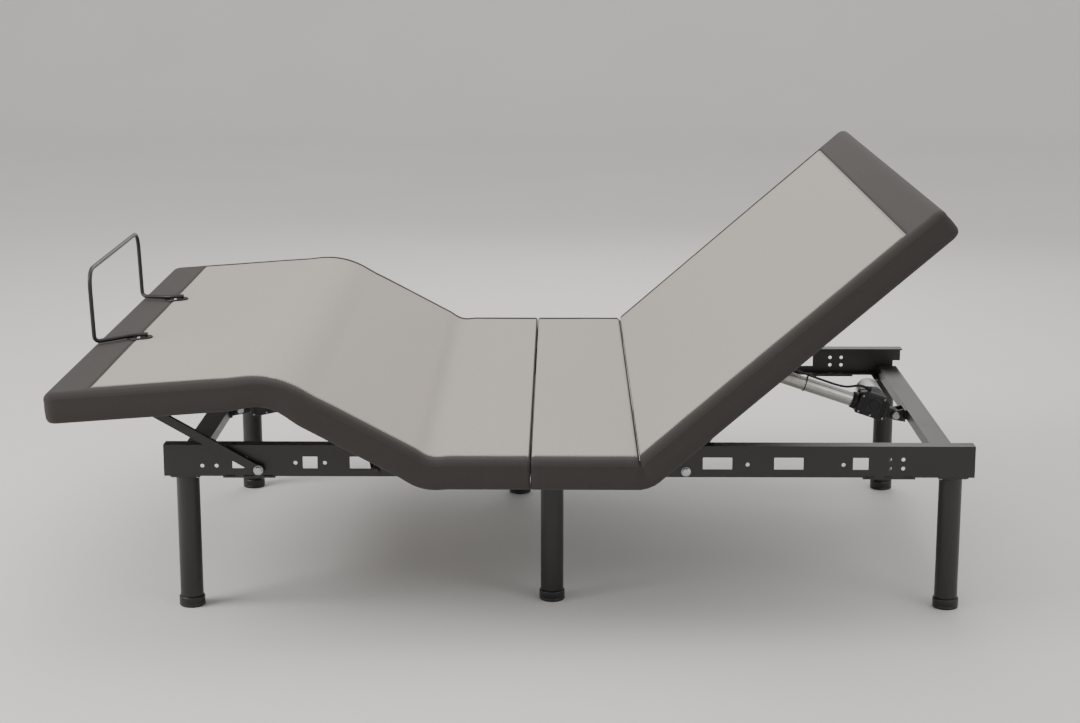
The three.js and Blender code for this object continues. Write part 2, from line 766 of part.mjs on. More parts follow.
const cornerY = railOuter - legInset;
const midY = railOuter - midLegInset;
const legPlaces = {
  head_left: [legX, -cornerY, legHeight],
  head_right: [legX, cornerY, legHeight],
  foot_left: [-legX, -cornerY, legHeight],
  foot_right: [-legX, cornerY, legHeight],
  mid_left: [midMemberHeadX, -midY, legHeight],
  mid_right: [midMemberFootX, midY, legHeight],
};
for (const [place, [x, y, top]] of Object.entries(legPlaces)) {
  const upright = mesh(`leg_${place}`, leg(top), powderCoat);
  const pad = mesh(`foot_pad_${place}`, footPad(), blackPlastic);
  upright.position.set(x, y, 0);
  pad.position.set(x, y, 0);
  base.add(upright, pad);
}

// Seat, in two halves that part at the fold line
const seatHead = { x0: foldX + foldGap, x1: hipX - swingGap };
const seatFoot = { x0: foldX - foldGap, x1: thighX + swingGap };
base.add(mesh('seat_board_head', deckBoard(seatHead), boardWood));
base.add(mesh('seat_board_foot', deckBoard(seatFoot), boardWood));
base.add(mesh(
  'seat_padding_head',
  deckPadding({ x0: seatHead.x0, x1: hipX - pinGap, bevel1: paddingBevel }),
  fabric,
));
base.add(mesh(
  'seat_padding_foot',
  deckPadding({ x0: seatFoot.x0, x1: thighX + pinGap, bevel1: paddingBevel }),
  fabric,
));
const pinEnd = boardHalfWidth - skirtThickness;
base.add(mesh('hip_hinge_pin', rodAlongY(hipX, topHingeZ, hingePinRadius, -pinEnd, pinEnd, 12), zincSteel));
base.add(mesh('thigh_hinge_pin', rodAlongY(thighX, topHingeZ, hingePinRadius, -pinEnd, pinEnd, 12), zincSteel));

const boxX0 = foldX + midMemberOffset + memberWidth / 2 + 30;
const boxY0 = -230;
base.add(mesh(
  'control_box',
  block(
    boxX0,
    boxX0 + controlBox.length,
    boxY0,
    boxY0 + controlBox.width,
    boardBottom - clearance - controlBox.height,
    boardBottom - clearance,
  ),
  blackPlastic,
));

// Head section
const headLiftGeometry = liftGeometry(headLift, headAngle, headAngleMost);
const head = raisedGroup('head_section', hipX, 0, topHingeZ, headAngle * degree);
head.add(mesh(
  'head_board',
  deckBoard({ x0: swingGap, x1: headLength - wrapThickness, z: topHingeZ, endSkirt: true }),
  boardWood,
));
head.add(mesh(
  'head_padding',
  deckPadding({ x0: pinGap, x1: headLength, z: topHingeZ, rounded: true, bevel0: paddingBevel }),
  fabric,
));
for (const [sideName, side] of Object.entries(sides)) {
  const ys = [side * rampInner, side * rampOuter].sort((a, b) => a - b);
  head.add(mesh(`head_lift_ramp_${sideName}`, plateAcrossY(liftRamp(headLiftGeometry, 1), ...ys), powderCoat));
}
base.add(head);

// Thigh section, which extends towards -X
const thighLiftGeometry = liftGeometry(thighLift, thighAngle, thighAngleMost);
const thigh = raisedGroup('thigh_section', thighX, 0, topHingeZ, -thighAngle * degree);
thigh.add(mesh(
  'thigh_board',
  deckBoard({ x0: -swingGap, x1: -thighLength + pinGap, z: topHingeZ, trim1: kneeTrim }),
  boardWood,
));
thigh.add(mesh(
  'thigh_padding',
  deckPadding({ x0: -pinGap, x1: -thighLength + swingGap, z: topHingeZ, bevel0: paddingBevel }),
  fabric,
));
for (const [sideName, side] of Object.entries(sides)) {
  const ys = [side * rampInner, side * rampOuter].sort((a, b) => a - b);
  thigh.add(mesh(`thigh_lift_ramp_${sideName}`, plateAcrossY(liftRamp(thighLiftGeometry, -1), ...ys), powderCoat));
}
const kneeDrop = topHingeZ - kneeHingeZ;
thigh.add(mesh(
  'knee_hinge_pin',
  rodAlongY(-thighLength, -kneeDrop, hingePinRadius, -pinEnd, pinEnd, 12),
  zincSteel,
));

// Foot section, hinged to the far end of the thigh section
const foot = raisedGroup('foot_section', -thighLength, 0, -kneeDrop, thighAngle * kneeRatio * degree);
foot.add(mesh(
  'foot_board',
  deckBoard({ x0: -pinGap, x1: -footLength + wrapThickness, z: kneeHingeZ, endSkirt: true, trim0: kneeTrim }),
  boardWood,
));
foot.add(mesh(
  'foot_padding',
  deckPadding({ x0: -swingGap, x1: -footLength, z: kneeHingeZ, rounded: true }),
  fabric,
));
for (const [sideName, side] of Object.entries(sides)) {
  foot.add(mesh(`foot_link_bracket_${sideName}`, linkBracket(side, kneeHingeZ), powderCoat));
}
foot.add(mesh('mattress_retainer', retainer(kneeHingeZ), powderCoat));
thigh.add(foot);
base.add(thigh);

// Lift arm frames with their rollers. The thigh lift is the head lift turned end for end.
function addLift(name, lift, geometry, hingeX, way) {
  const pivotX = hingeX + way * lift.pivotOffset;
  const turned = new THREE.Group();
  turned.position.set(pivotX, 0, liftPivotZ);
  if (way < 0) turned.scale.x = -1;
  const arms = raisedGroup(`${name}_lift`, 0, 0, 0, geometry.armRest);
  arms.add(mesh(`${name}_lift_frame`, liftFrame(lift), powderCoat));
  for (const [sideName, side] of Object.entries(sides)) {
    const wheel = mesh(`${name}_lift_roller_${sideName}`, roller(), nylon);
    wheel.position.set(lift.armLength, side * (rampInner + rampOuter) / 2, 0);
    arms.add(wheel);
  }
  turned.add(arms);
  base.add(turned);
}
addLift('head', headLift, headLiftGeometry, hipX, 1);
addLift('thigh', thighLift, thighLiftGeometry, thighX, -1);

// Actuators. The gearbox turns on the bracket pin and the rod slides out towards the lever.
function addActuator(name, actuator, lift, liftShape, hingeX, way) {
  const shape = actuatorGeometry(lift, liftShape, hingeX, actuator.pinDrop, way);
  const bracket = actuatorBracket(shape.pinX, shape.pinZ, way);
  base.add(mesh(`${name}_actuator_bracket`, bracket, powderCoat));
  const turned = new THREE.Group();
  turned.position.set(shape.pinX, actuatorOffset, shape.pinZ);
  if (way > 0) turned.scale.x = -1;
  const body = raisedGroup(`${name}_actuator`, 0, 0, 0, shape.angle);
  body.add(mesh(`${name}_actuator_gearbox`, gearbox(), blackPlastic));
  body.add(mesh(`${name}_actuator_motor`, motor(), zincSteel));
  body.add(mesh(`${name}_actuator_tube`, outerTube(shape.length - actuator.tubeBack), aluminium));
  const rod = actuatorRod(shape.length - actuator.rodBack, shape.length);
  body.add(mesh(`${name}_actuator_rod`, rod, zincSteel));
  turned.add(body);
  base.add(turned);
}
addActuator('head', headActuator, headLift, headLiftGeometry, hipX, 1);
addActuator('thigh', thighActuator, thighLift, thighLiftGeometry, thighX, -1);

// Drag links, from the side rails to the foot section
base.updateMatrixWorld(true);
const dragTopPoint = foot.localToWorld(new THREE.Vector3(
  -dragTop.along,
  0,
  boardBottom - kneeHingeZ - dragTop.drop,
));
const dragX = -railEnd + dragPivotInset;
const dragZ = legHeight + dragPivotRise;
const dragLength = Math.hypot(dragTopPoint.x - dragX, dragTopPoint.z - dragZ);
const dragAngle = Math.atan2(dragTopPoint.z - dragZ, dragX - dragTopPoint.x);
for (const [sideName, side] of Object.entries(sides)) {
  const y = side * (railOuter + dragStandoff + dragBar.thickness / 2);
  const link = raisedGroup(`drag_link_${sideName}_group`, dragX, y, dragZ, -dragAngle);
  link.add(mesh(`drag_link_${sideName}`, dragLink(dragLength).rotateY(Math.PI), powderCoat));
  base.add(link);
}

// The lead from the head motor, clipped along the outer tube and held under the seat to the box
const headPin = actuatorGeometry(headLift, headLiftGeometry, hipX, headActuator.pinDrop, 1);
const alongTube = (u, w) => [
  headPin.pinX - u * Math.cos(headPin.angle) + w * Math.sin(headPin.angle),
  headPin.pinZ + u * Math.sin(headPin.angle) + w * Math.cos(headPin.angle),
];
const boxEndX = boxX0 + controlBox.length + clearance;
const cableRoute = [
  [...alongTube(gearboxLug + gearboxLength - 22, gearboxAbove + 5), actuatorOffset - 16],
  [...alongTube(gearboxLug + gearboxLength + 6, gearboxAbove + 5), actuatorOffset - 16],
  [...alongTube(gearboxLug + gearboxLength + 40, 27), actuatorOffset - 14],
  [...alongTube(220, 25), actuatorOffset - 12],
  [...alongTube(270, 27), actuatorOffset - 14],
  [...alongTube(312, 22), actuatorOffset - 40],
  [440, 402, -60],
  [390, 372, -96],
  [330, 352, -122],
  [280, 348, -138],
  [220, 352, -146],
  [boxEndX + 24, 357, -146],
  [boxEndX, 357, -146],
].map(([x, z, y]) => new THREE.Vector3(x, y, z));
const cablePath = new THREE.CatmullRomCurve3(cableRoute, false, 'centripetal');
base.add(mesh('head_motor_cable', roundBar(cablePath, cableRadius, 4, 56), cableJacket));

// The origin is the middle of the assembly's plan, on the floor.
const bed = new THREE.Group();
bed.add(base);
bed.updateMatrixWorld(true);
const extent = new THREE.Box3().setFromObject(bed, true);
base.position.x = -(extent.min.x + extent.max.x) / 2;
base.position.y = -(extent.min.y + extent.max.y) / 2;

export default bed;
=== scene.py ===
"""Adjustable bed base: upholstered folding deck on a black steel frame, with its lifting gear.

Units are metres, +Z is up, +X points to the head end, and "left" is the -Y side.
"""
import json
import math

import bmesh
import bpy
from bpy.props import FloatProperty, PointerProperty, StringProperty
from mathutils import Matrix, Vector, noise


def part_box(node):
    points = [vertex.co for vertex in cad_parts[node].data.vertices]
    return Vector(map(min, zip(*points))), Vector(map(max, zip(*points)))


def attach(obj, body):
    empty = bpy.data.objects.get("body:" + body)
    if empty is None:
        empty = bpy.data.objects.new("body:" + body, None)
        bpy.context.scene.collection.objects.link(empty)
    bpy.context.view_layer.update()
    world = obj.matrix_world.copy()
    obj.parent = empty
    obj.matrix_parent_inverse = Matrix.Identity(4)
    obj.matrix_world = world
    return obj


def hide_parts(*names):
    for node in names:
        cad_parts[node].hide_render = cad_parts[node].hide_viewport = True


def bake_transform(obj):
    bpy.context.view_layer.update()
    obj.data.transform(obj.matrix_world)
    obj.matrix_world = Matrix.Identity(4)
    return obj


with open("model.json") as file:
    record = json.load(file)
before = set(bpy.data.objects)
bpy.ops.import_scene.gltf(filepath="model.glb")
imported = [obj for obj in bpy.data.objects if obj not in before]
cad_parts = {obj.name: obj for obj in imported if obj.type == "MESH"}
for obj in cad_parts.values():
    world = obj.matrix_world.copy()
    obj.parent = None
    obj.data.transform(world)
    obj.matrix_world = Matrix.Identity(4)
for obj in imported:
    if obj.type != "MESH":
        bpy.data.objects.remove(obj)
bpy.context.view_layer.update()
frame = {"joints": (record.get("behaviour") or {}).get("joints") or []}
CAD_NODES = [item.name for item in bpy.data.objects if item.type == "MESH"]

bl_info = {
    "name": "Adjustable bed base",
    "version": (1, 0, 0),
    "blender": (4, 5, 0),
    "location": "View3D > Sidebar > Bed Base",
    "description": "Builds the upholstery, fittings and finishes of an adjustable bed base",
    "category": "Object",
}

JOINTS = {joint["name"]: joint for joint in frame["joints"]}
HIP = Vector(JOINTS["head_hinge"]["pos_m"])
THIGH = Vector(JOINTS["thigh_hinge"]["pos_m"])
KNEE = Vector(JOINTS["knee_hinge"]["pos_m"])
# The sections are modelled raised, and each hinge's lower limit is flat.
HEAD_RAISED = math.radians(-JOINTS["head_hinge"]["range_deg"][0])
THIGH_RAISED = math.radians(-JOINTS["thigh_hinge"]["range_deg"][0])
# How far the foot section turns on the knee for each degree of the thigh section.
KNEE_RATIO = 1.154
KNEE_TURN = KNEE_RATIO * THIGH_RAISED
SIDES = {"left": -1, "right": 1}


# ---------------------------------------------------------------- settings

class DeckSettings(bpy.types.PropertyGroup):
    """Sizes and colours of the upholstered deck"""
    panel_edge: FloatProperty(
        name="Side border", description="Width of the dark border along each long side",
        default=0.0361, unit="LENGTH")
    head_border: FloatProperty(
        name="Head border", description="Depth of the dark border at the head end",
        default=0.088, unit="LENGTH")
    foot_border: FloatProperty(
        name="Foot border", description="Depth of the dark border at the foot end",
        default=0.096, unit="LENGTH")
    edge_radius: FloatProperty(
        name="Edge radius", description="Rounding of the padded top edge",
        default=0.017, unit="LENGTH")
    thread_spacing: FloatProperty(
        name="Thread spacing", description="Distance between the threads of the weave",
        default=0.0024, unit="LENGTH")
    panel_colour: StringProperty(
        name="Panel colour", description="Colour of the top panels, as sRGB hex", default="#A9A198")
    border_colour: StringProperty(
        name="Border colour", description="Colour of the borders and sides, as sRGB hex",
        default="#332E2C")


class FrameSettings(bpy.types.PropertyGroup):
    """Sizes and colours of the steel frame and its fittings"""
    steel_colour: StringProperty(
        name="Steel colour", description="Colour of the powder coat, as sRGB hex", default="#191613")
    bolt_radius: FloatProperty(
        name="Bolt head", description="Half the width across a bolt head's flats",
        default=0.0085, unit="LENGTH")
    bead_radius: FloatProperty(
        name="Weld bead", description="Half the width of a weld bead", default=0.0024, unit="LENGTH")


class StageSettings(bpy.types.PropertyGroup):
    """Floor, lights and camera"""
    floor_colour: StringProperty(
        name="Floor colour", description="Colour of the floor, as sRGB hex", default="#E6E4E1")
    lens: FloatProperty(
        name="Lens", description="Focal length in millimetres on a 36 mm wide sensor", default=69.96)


# ---------------------------------------------------------------- colour and nodes

def linear(hex_colour, alpha=1.0):
    """An sRGB hex colour as the linear RGBA that Blender's sockets take."""
    channels = [int(hex_colour[i:i + 2], 16) / 255 for i in (1, 3, 5)]
    return [c / 12.92 if c <= 0.04045 else ((c + 0.055) / 1.055) ** 2.4 for c in channels] + [alpha]


def add_node(tree, kind, settings=None, inputs=None, links=None):
    """A node with its settings and inputs. An input that is a node's output is linked, and
    `links` takes each of the node's outputs on to a socket."""
    node = tree.nodes.new(kind)
    for name, value in (settings or {}).items():
        setattr(node, name, value)
    for name, value in (inputs or {}).items():
        if isinstance(value, bpy.types.NodeSocket):
            tree.links.new(value, node.inputs[name])
        else:
            node.inputs[name].default_value = value
    for name, socket in (links or {}).items():
        tree.links.new(node.outputs[name], socket)
    return node


def new_material(name, **values):
    """A material holding one Principled shader with these socket values, and its node tree."""
    material = bpy.data.materials.new(name)
    material.use_nodes = True
    tree = material.node_tree
    shader = tree.nodes["Principled BSDF"]
    for socket, value in values.items():
        shader.inputs[socket.replace("_", " ")].default_value = value
    return material, tree, shader


def tint(tree, shader, factor, dark, light, low=0.3, high=0.7):
    """Colours the shader between two colours by a factor."""
    spread = add_node(tree, "ShaderNodeMapRange", inputs={
        "Value": factor, "From Min": low, "From Max": high})
    mix = add_node(tree, "ShaderNodeMix", {"data_type": "RGBA"}, {
        0: spread.outputs[0], 6: linear(dark), 7: linear(light)})
    tree.links.new(mix.outputs[2], shader.inputs["Base Color"])


def shade(hex_colour, factor):
    """A hex colour made lighter or darker."""
    channels = [min(255, round(int(hex_colour[i:i + 2], 16) * factor)) for i in (1, 3, 5)]
    return "#" + "".join(f"{c:02X}" for c in channels)


# ---------------------------------------------------------------- materials

def woven_fabric(name, colour, spacing, sheen):
    """Polyester upholstery cloth, plain weave: matt, with a soft sheen at grazing angles and threads
    that cross at right angles. The real threads are about 1 mm apart, too fine to show, so they are
    drawn about twice as coarse."""
    material, tree, shader = new_material(
        name, Roughness=0.86, IOR=1.5, Sheen_Weight=sheen, Sheen_Roughness=0.5)
    cloth = add_node(tree, "ShaderNodeUVMap", {"uv_map": "cloth"})
    waves = []
    for direction in ("X", "Y"):
        waves.append(add_node(tree, "ShaderNodeTexWave", {"bands_direction": direction}, {
            "Vector": cloth.outputs["UV"], "Scale": 0.314 / spacing, "Distortion": 0.6,
            "Detail": 1.0, "Detail Scale": 2.0}))
    weave = add_node(tree, "ShaderNodeMath", {"operation": "MULTIPLY"}, {
        0: waves[0].outputs["Fac"], 1: waves[1].outputs["Fac"]})
    slubs = add_node(tree, "ShaderNodeTexNoise", {}, {
        "Vector": cloth.outputs["UV"], "Scale": 90.0, "Detail": 5.0, "Roughness": 0.6})
    cover = add_node(tree, "ShaderNodeMath", {"operation": "MULTIPLY_ADD"}, {
        0: slubs.outputs["Fac"], 1: 0.55, 2: weave.outputs[0]})
    tint(tree, shader, cover.outputs[0], shade(colour, 0.88), shade(colour, 1.08), 0.1, 1.1)
    add_node(tree, "ShaderNodeBump", links={"Normal": shader.inputs["Normal"]}, inputs={
        "Height": cover.outputs[0], "Strength": 0.35, "Distance": 0.0006})
    return material


def powder_coated_steel(name, colour):
    """Steel with a satin black powder coat: a fine orange-peel skin that breaks up highlights."""
    material, tree, shader = new_material(
        name, Roughness=0.42, IOR=1.5, Coat_Weight=0.15, Coat_Roughness=0.3)
    place = add_node(tree, "ShaderNodeTexCoord")
    peel = add_node(tree, "ShaderNodeTexNoise", {}, {
        "Vector": place.outputs["Object"], "Scale": 420.0, "Detail": 3.0, "Roughness": 0.55})
    wear = add_node(tree, "ShaderNodeTexNoise", {}, {
        "Vector": place.outputs["Object"], "Scale": 7.0, "Detail": 6.0, "Roughness": 0.6})
    tint(tree, shader, wear.outputs["Fac"], shade(colour, 0.85), shade(colour, 1.3), 0.35, 0.75)
    add_node(tree, "ShaderNodeMapRange", links={"Result": shader.inputs["Roughness"]}, inputs={
        "Value": wear.outputs["Fac"], "To Min": 0.36, "To Max": 0.5})
    add_node(tree, "ShaderNodeBump", links={"Normal": shader.inputs["Normal"]}, inputs={
        "Height": peel.outputs["Fac"], "Strength": 0.12, "Distance": 0.0004})
    return material


def plated_metal(name, colour, roughness, scratch):
    """Bare or plated metal with fine drawn or turned scratches that blur its reflections."""
    material, tree, shader = new_material(name, Metallic=1.0)
    place = add_node(tree, "ShaderNodeTexCoord")
    stretch = add_node(tree, "ShaderNodeMapping", inputs={
        "Vector": place.outputs["Object"], "Scale": scratch})
    lines = add_node(tree, "ShaderNodeTexNoise", {}, {
        "Vector": stretch.outputs[0], "Scale": 60.0, "Detail": 6.0, "Roughness": 0.7})
    tint(tree, shader, lines.outputs["Fac"], shade(colour, 0.86), shade(colour, 1.06))
    add_node(tree, "ShaderNodeMapRange", links={"Result": shader.inputs["Roughness"]}, inputs={
        "Value": lines.outputs["Fac"], "To Min": roughness * 0.75, "To Max": roughness * 1.35})
    add_node(tree, "ShaderNodeBump", links={"Normal": shader.inputs["Normal"]}, inputs={
        "Height": lines.outputs["Fac"], "Strength": 0.06, "Distance": 0.0002})
    return material


def moulded_plastic(name, colour, roughness, grain=900.0):
    """Injection-moulded plastic with a fine spark-eroded grain."""
    material, tree, shader = new_material(name, IOR=1.5)
    place = add_node(tree, "ShaderNodeTexCoord")
    fine = add_node(tree, "ShaderNodeTexNoise", {}, {
        "Vector": place.outputs["Object"], "Scale": grain, "Detail": 2.0})
    broad = add_node(tree, "ShaderNodeTexNoise", {}, {
        "Vector": place.outputs["Object"], "Scale": 14.0, "Detail": 4.0})
    tint(tree, shader, broad.outputs["Fac"], shade(colour, 0.9), shade(colour, 1.15))
    add_node(tree, "ShaderNodeMapRange", links={"Result": shader.inputs["Roughness"]}, inputs={
        "Value": fine.outputs["Fac"], "To Min": roughness - 0.06, "To Max": roughness + 0.08})
    add_node(tree, "ShaderNodeBump", links={"Normal": shader.inputs["Normal"]}, inputs={
        "Height": fine.outputs["Fac"], "Strength": 0.2, "Distance": 0.0003})
    return material


def nonwoven_cloth(name, colour):
    """Spun polypropylene dust cloth: thin, matt, with a fine pressed dimple pattern."""
    material, tree, shader = new_material(name, Roughness=0.9, IOR=1.5, Sheen_Weight=0.1)
    place = add_node(tree, "ShaderNodeTexCoord")
    dimples = add_node(tree, "ShaderNodeTexVoronoi", {"feature": "F1"}, {
        "Vector": place.outputs["Object"], "Scale": 380.0, "Randomness": 0.15})
    clouds = add_node(tree, "ShaderNodeTexNoise", {}, {
        "Vector": place.outputs["Object"], "Scale": 35.0, "Detail": 5.0})
    tint(tree, shader, clouds.outputs["Fac"], shade(colour, 0.8), shade(colour, 1.3))
    add_node(tree, "ShaderNodeBump", links={"Normal": shader.inputs["Normal"]}, inputs={
        "Height": dimples.outputs["Distance"], "Strength": 0.4, "Distance": 0.0004})
    return material


MATERIALS = {}


def make_materials():
    """One material for each finish, kept by its plain name."""
    deck = bpy.context.scene.bed_deck
    steel = bpy.context.scene.bed_frame
    MATERIALS.update({
        "panel": woven_fabric("light_woven_polyester", deck.panel_colour, deck.thread_spacing, 0.12),
        "border": woven_fabric("charcoal_woven_polyester", deck.border_colour, deck.thread_spacing, 0.04),
        "steel": powder_coated_steel("satin_black_powder_coated_steel", steel.steel_colour),
        "zinc": plated_metal("zinc_plated_steel", "#B4B8BB", 0.32, (1.0, 1.0, 6.0)),
        "motor": plated_metal("brushed_steel_motor_can", "#B9BABB", 0.3, (1.0, 9.0, 9.0)),
        "aluminium": plated_metal("satin_extruded_aluminium", "#C3C2BE", 0.34, (1.0, 8.0, 8.0)),
        "housing": moulded_plastic("black_glass_filled_nylon", "#171718", 0.46),
        "foot": moulded_plastic("black_moulded_polyethylene", "#19191A", 0.42),
        "roller": moulded_plastic("natural_nylon", "#CFCBBE", 0.4),
        "cable": moulded_plastic("black_pvc_cable_sheath", "#121213", 0.45, 300.0),
        "thread": moulded_plastic("charcoal_bonded_thread", "#2E2B2A", 0.7, 500.0),
        "dust_cloth": nonwoven_cloth("black_spunbond_dust_cloth", "#1C1B1B"),
    })


# ---------------------------------------------------------------- mesh helpers

def new_piece(name, bm, materials, smooth=True, sharp_angle=None):
    """An object from a bmesh, with its materials by their plain names."""
    bmesh.ops.recalc_face_normals(bm, faces=bm.faces)
    mesh = bpy.data.meshes.new(name)
    bm.to_mesh(mesh)
    bm.free()
    for key in materials:
        mesh.materials.append(MATERIALS[key])
    mesh.polygons.foreach_set("use_smooth", [smooth] * len(mesh.polygons))
    if smooth and sharp_angle is not None:
        mesh.set_sharp_from_angle(angle=math.radians(sharp_angle))
    piece = bpy.data.objects.new(name, mesh)
    bpy.context.scene.collection.objects.link(piece)
    return piece


def direction_frame(axis):
    """A rotation whose Z is along the axis."""
    return Vector(axis).normalized().to_track_quat("Z", "Y").to_matrix().to_4x4()


def circle(count):
    """Cosine and sine of evenly spaced angles round a full turn."""
    angles = [2 * math.pi * k / count for k in range(count)]
    return [(math.cos(angle), math.sin(angle)) for angle in angles]


def add_skin(bm, rings, material=0):
    """A closed skin over rings of points: faces from each ring to the next and one over each end."""
    rings = [[bm.verts.new(point) for point in ring] for ring in rings]
    for lower, upper in zip(rings, rings[1:]):
        for k in range(len(lower)):
            n = (k + 1) % len(lower)
            bm.faces.new((lower[k], lower[n], upper[n], upper[k])).material_index = material
    for ring in (rings[0][::-1], rings[-1]):
        bm.faces.new(ring).material_index = material


def add_lathe(bm, start, axis, profile, segments=32, material=0):
    """A turned shape: profile holds (distance along the axis, radius), and ends are closed."""
    turn = Matrix.Translation(Vector(start)) @ direction_frame(axis)
    add_skin(bm, [[turn @ Vector((radius * c, radius * s, along)) for c, s in circle(segments)]
                  for along, radius in profile], material)


def add_tube(bm, points, radius, segments=12, material=0):
    """A round bar or lead along points, closed at both ends."""
    points = [Vector(p) for p in points]
    rings = []
    normal = None
    for i, point in enumerate(points):
        tangent = (points[min(i + 1, len(points) - 1)] - points[max(i - 1, 0)]).normalized()
        if normal is None:
            normal = tangent.orthogonal().normalized()
        normal = (normal - tangent * normal.dot(tangent)).normalized()
        side = tangent.cross(normal)
        rings.append([point + radius * (c * normal + s * side) for c, s in circle(segments)])
    add_skin(bm, rings, material)


def soften(bm, faces, bevel, segments, profile):
    """Rounds every edge of these faces."""
    edges = list({edge for face in faces for edge in face.edges})
    bmesh.ops.bevel(bm, geom=edges, offset=bevel, segments=segments, affect="EDGES", profile=profile)


def add_box(bm, low, high, turn=Matrix.Identity(4), bevel=0.0, material=0):
    """A box between two corners, turned by a matrix, with softened edges."""
    corners = [Vector((x, y, z)) for x in (low[0], high[0]) for y in (low[1], high[1])
               for z in (low[2], high[2])]
    verts = [bm.verts.new(turn @ c) for c in corners]
    quads = ((0, 1, 3, 2), (4, 6, 7, 5), (0, 4, 5, 1), (2, 3, 7, 6), (0, 2, 6, 4), (1, 5, 7, 3))
    faces = [bm.faces.new([verts[i] for i in quad]) for quad in quads]
    for face in faces:
        face.material_index = material
    if bevel > 0:
        soften(bm, faces, bevel, 2, 0.6)


# Distance across a hexagon's corners as a share of the distance across its flats.
HEX_CORNERS = 1.1547


def add_hex_bolt(bm, centre, axis, across, height, washer, material=0):
    """A hexagon bolt head with a chamfered top, standing on a washer."""
    washer_top = 0.0016
    add_lathe(bm, centre, axis, [
        (0, washer * 0.5), (0, washer), (washer_top - 0.0002, washer), (washer_top, washer * 0.96),
        (washer_top, washer * 0.5)], 24, material)
    corner = across * HEX_CORNERS
    add_lathe(bm, centre, axis, [
        (washer_top, corner), (height * 0.85, corner), (height, corner * 0.82), (height, corner * 0.3)],
        6, material)


def add_screw(bm, centre, axis, radius, material=0):
    """A pan-head screw with a cross recess."""
    profile = [(0, 1), (0.35, 0.96), (0.6, 0.75), (0.68, 0.4), (0.4, 0.3), (0.35, 0.05)]
    add_lathe(bm, centre, axis, [(radius * up, radius * out) for up, out in profile], 16, material)


def middle(node):
    """The middle of a CAD node's box."""
    low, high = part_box(node)
    return (Vector(low) + Vector(high)) / 2


# ---------------------------------------------------------------- folding the flat deck

DECK_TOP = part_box("seat_padding_head")[1][2]
HALF_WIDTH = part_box("seat_padding_head")[1][1] - 0.0008
THIGH_LENGTH = (KNEE - THIGH).length
# Heights with the deck flat: the knee's hinge line and the underside of the boards.
KNEE_FLAT_Z = 0.3815
BOARD_UNDERSIDE = 0.3778
KNEE_FLAT = Vector((THIGH.x - math.sqrt(THIGH_LENGTH ** 2 - (HIP.z - KNEE_FLAT_Z) ** 2), 0, KNEE_FLAT_Z))
# Lengths of the head and foot sections from their hinges.
HEAD_LENGTH = 0.802
FOOT_LENGTH = 0.468
# Each bend turns the cloth over this much of its length, either side of the hinge line.
HIP_BEND = 0.010
THIGH_BEND = 0.042
KNEE_BEND = 0.095


def smoothstep(t):
    """A step from 0 to 1 with level ends."""
    t = min(max(t, 0.0), 1.0)
    return t * t * (3 - 2 * t)


def turn_about(point, pivot, angle):
    """A point turned about a line along Y, positive by the right-hand rule."""
    c, s = math.cos(angle), math.sin(angle)
    dx, dz = point[0] - pivot[0], point[2] - pivot[2]
    return Vector((pivot[0] + c * dx + s * dz, point[1], pivot[2] - s * dx + c * dz))


def bend(point, pivot, angle, width, way):
    """A flat point turned about a hinge, smoothly over `width` either side of it. `way` is the side
    that turns."""
    share = smoothstep((way * (point[0] - pivot[0]) + width) / (2 * width))
    return turn_about(point, pivot, angle * share) if share > 0 else point


def fold_head(point):
    """A flat point of the head half, at rest."""
    return bend(point, HIP, -HEAD_RAISED, HIP_BEND, 1)


def fold_foot(point):
    """A flat point of the foot half, at rest."""
    level = bend(point, KNEE_FLAT, -KNEE_TURN, KNEE_BEND, -1)
    share = smoothstep((THIGH.x - point[0] + THIGH_BEND) / (2 * THIGH_BEND))
    return turn_about(level, THIGH, THIGH_RAISED * share)


# ---------------------------------------------------------------- upholstery

CORNER = 0.026
SPLIT_RADIUS = 0.007
# Distance between the rows of the cloth where it bends, and at most elsewhere.
FINE_STEP = 0.004
COARSE_STEP = 0.03
SLAB_DEPTH = 0.034
# The cloth down a side: (distance in from the edge, height below the top).
SKIRT_PROFILE = [
    (0.0006, 0.023), (0.0, 0.029), (-0.0003, SLAB_DEPTH), (-0.0003, 0.042), (0.0, 0.049), (0.0005, 0.055),
    (0.0022, 0.0600), (0.0052, 0.0638), (0.0095, 0.0656), (0.0145, 0.0660), (0.0205, 0.0656),
    (0.0255, 0.0632), (0.0283, 0.0585), (0.0290, 0.0500), (0.0290, 0.0420), (0.0290, SLAB_DEPTH),
]


def cover_rows(split_x, end_x, marks):
    """Flat X of each row across the cloth, from the split to the end, closer together where it bends."""
    way = 1 if end_x > split_x else -1
    spots = [0.0, 0.0008, 0.002, 0.0036, 0.0055, 0.0078]
    length = abs(end_x - split_x)
    straight_end = length - CORNER
    at = 0.016
    while at < straight_end - 0.01:
        spots.append(at)
        near = min([abs(split_x + way * at - centre) - reach for centre, reach in marks] + [1.0])
        at += FINE_STEP if near < 0 else min(COARSE_STEP, 0.006 + near * 0.5)
    for k in range(12):
        spots.append(straight_end + CORNER * math.sin(math.pi / 2 * k / 11))
    return [split_x + way * s for s in spots]


def edge_drop(inward, radius):
    """How far the padded top has rounded down at a distance in from its edge."""
    if inward >= radius:
        return 0.0
    return radius - math.sqrt(max(radius * radius - (radius - inward) ** 2, 0.0))


def outline_distance(x, y, split_x, end_x):
    """Distance in from the rounded plan outline of the cloth, its split end left open."""
    way = 1 if end_x > split_x else -1
    to_end = way * (end_x - x)
    to_side = HALF_WIDTH - abs(y)
    if to_end < CORNER and to_side < CORNER:
        return CORNER - math.hypot(CORNER - to_end, CORNER - to_side)
    return min(to_end, to_side)


